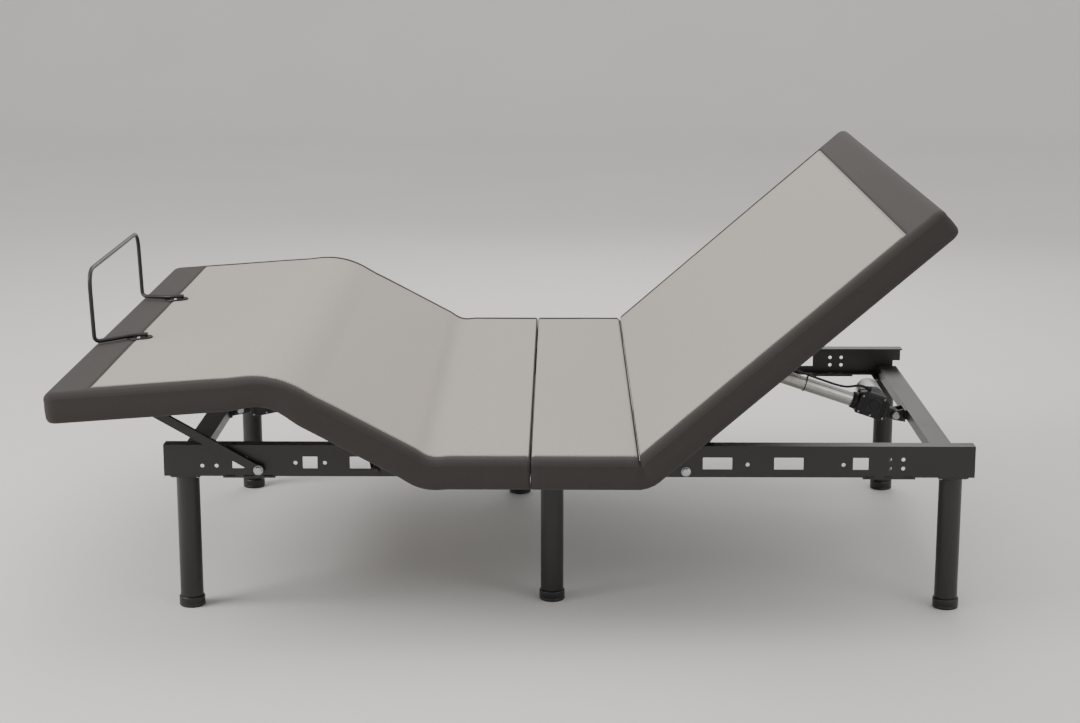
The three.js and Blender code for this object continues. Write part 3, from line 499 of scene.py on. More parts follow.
def seam_distance(x, y, panel_x, way, half):
    """Signed distance outside the light panel's edge."""
    return max(abs(y) - half, way * (x - panel_x))


# The sewn seam: how deep and wide its valley is, and the soft welt on each side of it.
SEAM_DEPTH = 0.0022
SEAM_WIDTH = 0.0022
WELT_RISE = 0.0009
WELT_FROM_SEAM = 0.010
WELT_WIDTH = 0.006
# Small ripples of the stretched cloth: (waves along, waves across, seed, height).
RIPPLES = ((5.0, 5.0, 0.3, 0.0009), (17.0, 11.0, 4.1, 0.0004))


def crease_depth(x, creases):
    """How deep the cloth is drawn in at a flat X, by creases of (flat X, depth, width)."""
    return sum(depth * math.exp(-((x - crease_x) / width) ** 2) for crease_x, depth, width in creases)


def cover_height(x, y, split_x, end_x, panel_x, creases):
    """Height of the cloth's top at a flat point: rounded edges, a sewn seam and pinched creases."""
    deck = bpy.context.scene.bed_deck
    way = 1 if end_x > split_x else -1
    radius = deck.edge_radius
    inward = max(outline_distance(x, y, split_x, end_x), 0.0)
    height = -edge_drop(inward * 0.92, radius) - edge_drop(abs(x - split_x), SPLIT_RADIUS)
    seam = seam_distance(x, y, panel_x, way, HALF_WIDTH - deck.panel_edge)
    height -= SEAM_DEPTH * math.exp(-(seam / SEAM_WIDTH) ** 2)
    height += WELT_RISE * math.exp(-((abs(seam) - WELT_FROM_SEAM) / WELT_WIDTH) ** 2)
    height -= crease_depth(x, creases)
    ripple = sum(rise * noise.noise(Vector((x * along, y * across, seed)))
                 for along, across, seed, rise in RIPPLES)
    return height + ripple * min(inward / 0.03, 1.0)


def build_cover(name, split_x, end_x, border, marks, creases, fold, keep=None):
    """Cloth over one half of the deck, laid out flat, then folded to rest. `keep` picks rows by flat X."""
    deck = bpy.context.scene.bed_deck
    way = 1 if end_x > split_x else -1
    panel_x = end_x - way * border
    rows = cover_rows(split_x, end_x, marks)
    # The panel's end seam gets rows of its own.
    for offset in (-0.012, -0.006, -0.003, -0.0012, 0.0, 0.0012, 0.003, 0.006, 0.012):
        rows.append(panel_x + way * offset)
    if keep is not None:
        rows = [r for r in rows if keep[0] < r < keep[1]] + [x for x in keep if abs(x - end_x) > 0.001]
    rows = sorted(set(round(r, 6) for r in rows), key=lambda r: way * r)
    whole_split = keep is None or min(abs(rows[0] - split_x), abs(rows[-1] - split_x)) < 1e-4
    whole_end = keep is None or min(abs(rows[0] - end_x), abs(rows[-1] - end_x)) < 1e-4
    seam = deck.panel_edge
    insets = [0.0, 0.0006, 0.0018, 0.004, 0.0072, 0.0115, 0.017, 0.024, seam - 0.007, seam - 0.003,
              seam - 0.0012, seam, seam + 0.0012, seam + 0.003, seam + 0.007, seam + 0.015, seam + 0.04]
    inner = 15
    bm = bmesh.new()
    layer = bm.loops.layers.uv.new("cloth")
    place = {}

    def vertex(x, y, z, u, v):
        made = bm.verts.new(fold(Vector((x, y, z))))
        place[made] = (u, v)
        return made

    def half_width(x):
        to_end = way * (end_x - x)
        near_split = max(SPLIT_RADIUS - abs(x - split_x), 0)
        pinch = SPLIT_RADIUS - math.sqrt(max(SPLIT_RADIUS ** 2 - near_split ** 2, 0))
        pinch += 0.35 * crease_depth(x, creases)
        if to_end >= CORNER:
            return HALF_WIDTH - pinch
        return HALF_WIDTH - CORNER + math.sqrt(max(CORNER ** 2 - (CORNER - to_end) ** 2, 0))

    def column_ys(x):
        half = half_width(x)
        outer = [half - inset for inset in insets]
        rest = half - insets[-1]
        middle_ys = [rest * (1 - 2 * k / inner) for k in range(1, inner)]
        return [-y for y in outer] + [-y for y in middle_ys] + outer[::-1]

    grid = []
    for x in rows:
        line = []
        for y in column_ys(x):
            height = cover_height(x, y, split_x, end_x, panel_x, creases)
            line.append(vertex(x, y, DECK_TOP + height, x, y))
        grid.append(line)
    border_faces = []
    for upper, lower in zip(grid, grid[1:]):
        for j in range(len(upper) - 1):
            corners = (upper[j], upper[j + 1], lower[j + 1], lower[j])
            if len({tuple(round(c, 7) for c in v.co) for v in corners}) < 3:
                continue
            face = bm.faces.new(corners)
            u = sum(place[v][0] for v in corners) / 4
            v = sum(place[c][1] for c in corners) / 4
            outside = seam_distance(u, v, panel_x, way, HALF_WIDTH - seam) > 0
            # Narrow strips along the hip crease and along the split get the dark border cloth as painted
            # shade, standing for the shade that falls in these valleys.
            painted_crease_shade = any(abs(u - x) < 0.003 for x, _, width in creases if width < 0.01)
            painted_crease_shade = painted_crease_shade or abs(u - split_x) < 0.0028
            face.material_index = 1 if outside or painted_crease_shade else 0
    # The sides, and the end when this piece has it, as one strip.
    last = len(grid) - 1
    columns = len(grid[0])
    outline = [(i, 0) for i in range(last + 1)]
    if whole_end:
        outline += [(last, j) for j in range(1, columns)]
    strips = [outline] if whole_end else [outline, [(i, columns - 1) for i in range(last, -1, -1)]]
    if whole_end:
        outline += [(i, columns - 1) for i in range(last - 1, -1, -1)]

    def outward(i, j):
        x = rows[i]
        to_end = way * (end_x - x)
        side = -1.0 if j < columns / 2 else 1.0
        if i == last and whole_end and 0 < j < columns - 1:
            return (way, 0.0)
        if to_end >= CORNER:
            return (0.0, side)
        along = (CORNER - to_end) / CORNER
        return (way * along, side * math.sqrt(max(1 - along * along, 0)))

    caps = []
    for strip in strips:
        lines = []
        for i, j in strip:
            top = grid[i][j]
            x, y = place[top]
            nx, ny = outward(i, j)
            line = [top]
            run = 0.0
            before = (0.0, deck.edge_radius)
            for inset, depth in SKIRT_PROFILE:
                run += math.hypot(inset - before[0], depth - before[1])
                before = (inset, depth)
                # A crease fades out down the side.
                tuck = 0.09 * crease_depth(x, creases) * max(0.0, 1 - depth / 0.055)
                wave = noise.noise(Vector((x * 9.0, y * 9.0, depth * 20))) * 0.0006
                inward = inset + tuck + wave
                line.append(vertex(x - nx * inward, y - ny * inward, DECK_TOP - depth,
                                   x + nx * run, y + ny * run))
            lines.append(line)
        for left, right in zip(lines, lines[1:]):
            for k in range(len(left) - 1):
                bm.faces.new((left[k], left[k + 1], right[k + 1], right[k])).material_index = 1
        caps += [lines[0], lines[-1]] if whole_end else [lines[0] if strip[0][0] == 0 else lines[-1]]
    if whole_split:
        # The cloth down the face at the split, and the ends of the two skirts there.
        split_row = grid[0]
        upper = split_row
        for depth in (0.012, 0.018, 0.025, SLAB_DEPTH):
            lower = [vertex(split_x, place[v][1], DECK_TOP - depth, split_x - way * depth, place[v][1])
                     for v in split_row]
            for j in range(columns - 1):
                bm.faces.new((upper[j], upper[j + 1], lower[j + 1], lower[j])).material_index = 1
            upper = lower
        for line in caps:
            bm.faces.new(line[3:]).material_index = 1
    bmesh.ops.remove_doubles(bm, verts=bm.verts, dist=1e-6)
    for face in bm.faces:
        for loop in face.loops:
            loop[layer].uv = place.get(loop.vert, (0.0, 0.0))
    piece = new_piece(name, bm, ("panel", "border"))
    piece.data.set_sharp_from_angle(angle=math.radians(70))
    return piece


def section_point(pivot, along, below, direction):
    """A point on a raised section: `along` from its hinge, `below` its hinge line."""
    ux, uz = direction
    nx, nz = (uz, -ux) if ux > 0 else (-uz, ux)
    return Vector((pivot[0] + ux * along + nx * below, 0, pivot[2] + uz * along + nz * below))


HEAD_WAY = (math.cos(HEAD_RAISED), math.sin(HEAD_RAISED))
THIGH_WAY = (-math.cos(THIGH_RAISED), math.sin(THIGH_RAISED))
FOOT_WAY = (-math.cos(KNEE_TURN - THIGH_RAISED), -math.sin(KNEE_TURN - THIGH_RAISED))
# The cloth swells into the gap between the two halves.
SPLIT_SWELL = 0.0022
SPLIT_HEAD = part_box("seat_padding_head")[0][0] - SPLIT_SWELL
SPLIT_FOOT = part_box("seat_padding_foot")[1][0] + SPLIT_SWELL
HEAD_END = HIP.x + HEAD_LENGTH
FOOT_END = KNEE_FLAT.x - FOOT_LENGTH
THIGH_MIDDLE = (THIGH.x + KNEE_FLAT.x) / 2
# The first and last point of the cloth that bends at each hinge.
HIP_ENDS = (section_point(HIP, -HIP_BEND, 0.0, (1.0, 0.0)), section_point(HIP, HIP_BEND, 0.0, HEAD_WAY))
THIGH_ENDS = (section_point(THIGH, -THIGH_BEND, 0.0, (-1.0, 0.0)),
              section_point(THIGH, THIGH_BEND, 0.0, THIGH_WAY))
KNEE_ENDS = (section_point(KNEE, -KNEE_BEND, 0.0, THIGH_WAY), section_point(KNEE, KNEE_BEND, 0.0, FOOT_WAY))
# Where the cloth is drawn in at the hip: (flat X, depth, width).
HIP_CREASE = [(HIP.x, 0.009, 0.0042)]
# The cloth is drawn down over the knee, so that its crest stays level: (flat X, depth, width).
KNEE_HOLLOW = [(KNEE_FLAT.x, 0.0060, 0.062)]


class BED_OT_deck_cover(bpy.types.Operator):
    """Sews the cloth over both halves of the deck"""
    bl_idname = "bed.deck_cover"
    bl_label = "Deck cover"

    def execute(self, context):
        deck = context.scene.bed_deck
        head = build_cover(
            "deck_cover_head_half", SPLIT_HEAD, HEAD_END, deck.head_border,
            [(HIP.x, 0.03)], HIP_CREASE, fold_head)
        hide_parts("seat_padding_head", "head_padding", "seat_board_head", "head_board")
        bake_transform(head)
        marks = [(THIGH.x, THIGH_BEND), (KNEE_FLAT.x, KNEE_BEND), (THIGH_MIDDLE, 0.002)]
        seat = build_cover(
            "deck_cover_seat_to_thigh", SPLIT_FOOT, FOOT_END, deck.foot_border,
            marks, KNEE_HOLLOW, fold_foot, keep=(THIGH_MIDDLE, SPLIT_FOOT))
        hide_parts("seat_padding_foot", "seat_board_foot", "thigh_padding", "thigh_board")
        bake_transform(seat)
        foot = build_cover(
            "deck_cover_thigh_to_foot", SPLIT_FOOT, FOOT_END, deck.foot_border,
            marks, KNEE_HOLLOW, fold_foot, keep=(FOOT_END, THIGH_MIDDLE))
        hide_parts("foot_padding", "foot_board")
        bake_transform(foot)
        return {"FINISHED"}


# ---------------------------------------------------------------- under the deck

# The dust cloth is pressed flat over the rails, this far across from the middle, and over the
# control box, between these two lines.
RAIL_LINE = 0.504
RAIL_REACH = 0.036
BOX_LINES = (-0.245, -0.045)
STAPLE_SPACING = 0.07
HEM_INSET = 0.0285


def section_matrix(pivot, direction):
    """Places a shape drawn along +X and below Z = 0 onto a section raised about its hinge."""
    ux, uz = direction
    nx, nz = (-uz, ux) if ux > 0 else (uz, -ux)
    way = 1 if ux > 0 else -1
    return Matrix(((ux, 0, nx, pivot[0]), (0, way, 0, 0), (uz, 0, nz, pivot[2]), (0, 0, 0, 1)))


def pressed_flat(y, reach):
    """Whether a line of the dust cloth lies over a rail, within a reach, or over the control box."""
    return abs(abs(y) - RAIL_LINE) < reach or BOX_LINES[0] < y < BOX_LINES[1]


def add_dust_cloth(bm, turn, x0, x1, z):
    """A thin cloth stapled under a board: flat at its hem, and hanging a little between the staples."""
    half = HALF_WIDTH - HEM_INSET
    nx = max(6, int((x1 - x0) / 0.03))
    across = [half * (2 * j / 44 - 1) for j in range(45)]
    across = sorted(across + [side * (RAIL_LINE + reach) for side in (-1, 1)
                              for reach in (-RAIL_REACH, -0.022, 0.022, RAIL_REACH)])
    ny = len(across) - 1
    lines = []
    for i in range(nx + 1):
        line = []
        for y in across:
            x = x0 + (x1 - x0) * i / nx
            hem = min(i, nx - i) * min((half - abs(y)) / 0.03, 1.0)
            ripple = 0.0011 + 0.0012 * noise.noise(Vector((x * 9, y * 6, z * 40)))
            sag = 0.0 if pressed_flat(y, RAIL_REACH) else min(hem / 2, 1.0) * ripple
            line.append(bm.verts.new(turn @ Vector((x, y, z - sag))))
        lines.append(line)
    for left, right in zip(lines, lines[1:]):
        for j in range(ny):
            bm.faces.new((left[j], left[j + 1], right[j + 1], right[j])).material_index = 0
    spots = []
    for k in range(int((x1 - x0) / STAPLE_SPACING)):
        spots += [(x0 + 0.03 + STAPLE_SPACING * k, side * (half - 0.012), False) for side in (-1, 1)]
    for k in range(20):
        y = -half + 0.04 + (2 * half - 0.08) * k / 19
        spots += [(x0 + 0.012, y, True), (x1 - 0.012, y, True)]
    for x, y, turned in spots:
        if pressed_flat(y, 0.03):
            continue
        dx, dy = (0.0008, 0.005) if turned else (0.005, 0.0008)
        add_box(bm, (x - dx, y - dy, z - 0.0009), (x + dx, y + dy, z + 0.0003), turn, material=1)


FLAT_MATRIX = Matrix.Translation(HIP)
HEAD_MATRIX = section_matrix(HIP, HEAD_WAY)
THIGH_MATRIX = section_matrix(THIGH, THIGH_WAY)
FOOT_MATRIX = section_matrix(KNEE, FOOT_WAY)


class BED_OT_dust_cloths(bpy.types.Operator):
    """Staples the dust cloths under the five boards"""
    bl_idname = "bed.dust_cloths"
    bl_label = "Dust cloths"

    def execute(self, context):
        below_hip = BOARD_UNDERSIDE - HIP.z
        below_knee = BOARD_UNDERSIDE - KNEE_FLAT_Z
        for name, body, turn, x0, x1, z in (
                ("dust_cloth_seat_head", "base_frame", FLAT_MATRIX,
                 SPLIT_HEAD + 0.001 - HIP.x, -0.004, below_hip),
                ("dust_cloth_seat_foot", "base_frame", FLAT_MATRIX,
                 THIGH.x + 0.02 - HIP.x, SPLIT_FOOT - 0.001 - HIP.x, below_hip),
                ("dust_cloth_head", "head_section", HEAD_MATRIX, 0.004, HEAD_LENGTH - 0.030, below_hip),
                ("dust_cloth_thigh", "thigh_section", THIGH_MATRIX, 0.028, THIGH_LENGTH - 0.045, below_hip),
                ("dust_cloth_foot", "foot_section", FOOT_MATRIX, 0.045, FOOT_LENGTH - 0.030, below_knee)):
            bm = bmesh.new()
            add_dust_cloth(bm, turn, x0, x1, z)
            piece = new_piece(name, bm, ("dust_cloth", "zinc"))
            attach(piece, body)
        return {"FINISHED"}


# ---------------------------------------------------------------- frame fittings

def pivot_of(joint):
    """Where a joint turns, at rest."""
    return Vector(JOINTS[joint]["pos_m"])


RAIL_OUTER = -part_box("side_rail_left_head")[0][1]
RAIL_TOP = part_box("side_rail_left_head")[1][2]
RAIL_BOTTOM = RAIL_TOP - 0.070
# Distance from the fold to the middle of a rail's saddle plate, and the depth of a rail's flanges.
SADDLE_FROM_FOLD = 0.186
FLANGE_DEPTH = 0.034
WASHER_RADIUS = 0.0105


class BED_OT_legs(bpy.types.Operator):
    """Turns the legs, their threaded collars and their moulded feet"""
    bl_idname = "bed.legs"
    bl_label = "Legs and feet"

    def execute(self, context):
        for place in ("head_left", "head_right", "foot_left", "foot_right", "mid_left", "mid_right"):
            centre = middle(f"foot_pad_{place}")
            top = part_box(f"leg_{place}")[1][2]
            foot_top = 0.024
            tube = 0.0254
            plate = 0.033
            plate_bottom = top - 0.0042
            start = (centre.x, centre.y, 0.0)
            bm = bmesh.new()
            add_lathe(bm, start, (0, 0, 1), [
                (foot_top + 0.0003, tube - 0.002), (foot_top + 0.0003, tube - 0.0006),
                (foot_top + 0.0010, tube), (top - 0.0115, tube), (top - 0.0110, tube + 0.0016),
                (top - 0.0085, tube + 0.0030), (top - 0.0052, tube + 0.0034),
                (top - 0.0046, tube + 0.0012)], 64)
            add_box(bm, (centre.x - plate, centre.y - plate, plate_bottom),
                    (centre.x + plate, centre.y + plate, top), bevel=0.0012)
            for dx in (-0.0265, 0.0265):
                for dy in (-0.0265, 0.0265):
                    add_screw(bm, (centre.x + dx, centre.y + dy, plate_bottom), (0, 0, -1), 0.0042, 1)
            leg = new_piece(f"turned_leg_{place}", bm, ("steel", "zinc"), sharp_angle=35)
            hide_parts(f"leg_{place}")
            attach(leg, "base_frame")
            outer = 0.0285
            bm = bmesh.new()
            profile = [
                (0.0, outer - 0.0075), (0.0, outer - 0.0035), (0.0008, outer - 0.0014),
                (0.0026, outer - 0.0002), (0.0050, outer), (0.0062, outer - 0.0009),
                (0.0076, outer - 0.0009), (0.0088, outer), (0.0205, outer), (0.0226, outer - 0.0005),
                (0.0238, outer - 0.0018), (foot_top, outer - 0.0035), (foot_top, tube - 0.0025),
                (0.0355, tube - 0.0025)]
            add_lathe(bm, start, (0, 0, 1), profile, 64)
            foot = new_piece(f"moulded_foot_{place}", bm, ("foot",), sharp_angle=50)
            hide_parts(f"foot_pad_{place}")
            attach(foot, "base_frame")
        return {"FINISHED"}


def add_bead(bm, start, end, radius, material=0):
    """A weld bead: a rippled ridge laid along a joint."""
    start, end = Vector(start), Vector(end)
    length = (end - start).length
    ripple_length = 0.0016
    count = max(4, int(length / ripple_length))
    points = [start.lerp(end, k / count) for k in range(count + 1)]
    rings = []
    axis = (end - start).normalized()
    normal = axis.orthogonal().normalized()
    side = axis.cross(normal)
    for k, point in enumerate(points):
        swell = radius * (1.0 + 0.16 * math.sin(k * 1.9) + 0.10 * noise.noise(point * 160))
        if k in (0, count):
            swell *= 0.45
        rings.append([point + swell * (c * normal + s * side) for c, s in circle(8)])
    add_skin(bm, rings, material)


class BED_OT_frame_fittings(bpy.types.Operator):
    """Adds the frame's welds, pivot bolts and fold hinges"""
    bl_idname = "bed.frame_fittings"
    bl_label = "Frame fittings"

    def execute(self, context):
        settings = context.scene.bed_frame
        radius = settings.bead_radius
        bm = bmesh.new()
        for member in ("head_end", "foot_end", "mid_head", "mid_foot"):
            low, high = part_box(f"cross_member_{member}")
            for y in (low[1], high[1]):
                for x in (low[0], high[0]):
                    add_bead(bm, (x, y, low[2] + 0.003), (x, y, high[2] - 0.002), radius)
                add_bead(bm, (low[0] + 0.003, y, low[2]), (high[0] - 0.003, y, low[2]), radius)
        for side_name, side in SIDES.items():
            for half in ("head", "foot"):
                low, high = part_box(f"side_rail_{side_name}_{half}")
                mid = high[0] - SADDLE_FROM_FOLD if half == "head" else low[0] + SADDLE_FROM_FOLD
                for y in (side * RAIL_OUTER, side * (RAIL_OUTER - FLANGE_DEPTH)):
                    for x in (mid - 0.042, mid, mid + 0.042):
                        add_bead(bm, (x - 0.011, y, RAIL_BOTTOM), (x + 0.011, y, RAIL_BOTTOM), radius * 0.9)
        welds = new_piece("frame_weld_beads", bm, ("steel",))
        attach(welds, "base_frame")

        bm = bmesh.new()
        for side_name, side in SIDES.items():
            outward = (0, side, 0)
            for joint, material in (("head_lift_pivot", 0), ("thigh_lift_pivot", 1)):
                pivot = pivot_of(joint)
                add_hex_bolt(bm, (pivot.x, side * RAIL_OUTER, pivot.z), outward, settings.bolt_radius,
                             0.0068, WASHER_RADIUS, material)
            # A drag link's bolt: its head, its shank and the spacer behind the link.
            pivot = pivot_of(f"drag_link_{side_name}_pivot")
            add_hex_bolt(bm, (pivot.x, side * (RAIL_OUTER + 0.015), pivot.z), outward,
                         settings.bolt_radius, 0.0068, WASHER_RADIUS)
            add_lathe(bm, (pivot.x, side * (RAIL_OUTER - 0.006), pivot.z), outward,
                      [(0, 0.0044), (0.0215, 0.0044)], 16)
            add_lathe(bm, (pivot.x, side * RAIL_OUTER, pivot.z), outward,
                      [(0.0001, 0.0085), (0.0029, 0.0085)], 20)
        bolts = new_piece("pivot_bolts", bm, ("zinc", "steel"), sharp_angle=30)
        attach(bolts, "base_frame")

        # Two plates with a knuckle join the rail halves at the fold, bolted through the webs.
        fold = (SPLIT_HEAD + SPLIT_FOOT) / 2
        bm = bmesh.new()
        for side in SIDES.values():
            back = side * (RAIL_OUTER - 0.0034)
            front = back - side * 0.004
            for way in (-1, 1):
                near, far = sorted((fold + way * 0.0045, fold + way * 0.058))
                add_box(bm, (near, min(back, front), RAIL_BOTTOM + 0.006),
                        (far, max(back, front), RAIL_TOP - 0.006), bevel=0.001)
                for dx in (0.020, 0.044):
                    for z in (RAIL_BOTTOM + 0.019, RAIL_TOP - 0.019):
                        x = fold + way * dx
                        add_hex_bolt(bm, (x, front, z), (0, -side, 0), 0.005, 0.0045, 0.0062, 1)
                        add_screw(bm, (x, side * RAIL_OUTER, z), (0, side, 0), 0.0052, 0)
            add_lathe(bm, (fold, back - side * 0.006, RAIL_BOTTOM + 0.004), (0, 0, 1),
                      [(0, 0.0042), (0.062, 0.0042)], 20)
        folds = new_piece("fold_hinge_plates", bm, ("steel", "zinc"), sharp_angle=35)
        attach(folds, "base_frame")
        return {"FINISHED"}


# ---------------------------------------------------------------- lifting gear

# Each lift arm's distance from the middle of the bed, and the ring of weld round its torque bar.
ARM_LINE = 0.445
BAR_WELD_RADIUS = 0.0168
# Distances back from a rod's eye to the end of its tube and to the rod's own inner end.
TUBE_END_TO_EYE = {"head": 0.122, "thigh": 0.063}
ROD_END_TO_EYE = {"head": 0.220, "thigh": 0.138}
EYE_RADIUS = 0.0139
ROD_RADIUS = 0.0089
# Distances along an actuator from its pin: to the motor's axis, and to the tube's inner end.
MOTOR_ALONG = 0.0580
TUBE_START = 0.1008
# From the housing to the motor's end face.
MOTOR_LENGTH = 0.0960

class BED_OT_lift_fittings(bpy.types.Operator):
    """Adds the lift arms' rollers, caps and welds"""
    bl_idname = "bed.lift_fittings"
    bl_label = "Lift fittings"

    def execute(self, context):
        for name in ("head", "thigh"):
            frame_welds = bmesh.new()
            pivot = pivot_of(f"{name}_lift_pivot")
            for side_name, side in SIDES.items():
                node = f"{name}_lift_roller_{side_name}"
                hub = middle(node)
                bm = bmesh.new()
                low = hub.y - 0.011
                add_lathe(bm, (hub.x, low, hub.z), (0, 1, 0), [
                    (0.0012, 0.0056), (0.0012, 0.0125), (0.0000, 0.0132), (0.0000, 0.0185),
                    (0.0008, 0.0196), (0.0020, 0.0200), (0.0200, 0.0200), (0.0212, 0.0196),
                    (0.0220, 0.0185), (0.0220, 0.0132), (0.0208, 0.0125), (0.0208, 0.0056)], 48)
                wheel = new_piece(f"nylon_roller_{name}_{side_name}", bm, ("roller",), sharp_angle=40)
                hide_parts(node)
                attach(wheel, f"{name}_roller_{side_name}")
                bm = bmesh.new()
                outer = hub.y + side * 0.0128
                add_lathe(bm, (hub.x, outer - side * 0.0008, hub.z), (0, side, 0),
                          [(0, 0.0052), (0, 0.0085), (0.0012, 0.0085), (0.0016, 0.0070), (0.0016, 0.0046),
                           (0.0030, 0.0040)], 24)
                clip = new_piece(f"roller_clip_{name}_{side_name}", bm, ("zinc",), sharp_angle=35)
                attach(clip, f"{name}_lift")
                arm = side * ARM_LINE
                for k in range(10):
                    starts = 2 * math.pi * k / 10
                    stops = 2 * math.pi * (k + 0.82) / 10
                    for y in (arm - 0.0046, arm + 0.0046):
                        ends = [(pivot.x + BAR_WELD_RADIUS * math.cos(angle), y,
                                 pivot.z + BAR_WELD_RADIUS * math.sin(angle)) for angle in (starts, stops)]
                        add_bead(frame_welds, ends[0], ends[1], 0.0017)
            welds = new_piece(f"{name}_lift_weld_beads", frame_welds, ("steel",))
            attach(welds, f"{name}_lift")
        return {"FINISHED"}


def local_frame(joint, direction):
    """Places a shape drawn along +X from an actuator's pin, with Z up and Y across."""
    ux, uz = direction
    pivot = pivot_of(joint)
    if ux > 0:
        return Matrix(((ux, 0, -uz, pivot.x), (0, 1, 0, pivot.y), (uz, 0, ux, pivot.z), (0, 0, 0, 1)))
    return Matrix(((ux, 0, uz, pivot.x), (0, 1, 0, pivot.y), (uz, 0, -ux, pivot.z), (0, 0, 0, 1)))


def add_prism(bm, turn, outline, y0, y1, bevel, material=0):
    """An outline in X and Z, drawn out across Y, with softened edges."""
    near = [bm.verts.new(turn @ Vector((x, y0, z))) for x, z in outline]
    far = [bm.verts.new(turn @ Vector((x, y1, z))) for x, z in outline]
    faces = [bm.faces.new(near), bm.faces.new(far[::-1])]
    for k in range(len(outline)):
        n = (k + 1) % len(outline)
        faces.append(bm.faces.new((near[k], far[k], far[n], near[n])))
    for face in faces:
        face.material_index = material
    if bevel > 0:
        soften(bm, faces, bevel, 3, 0.5)


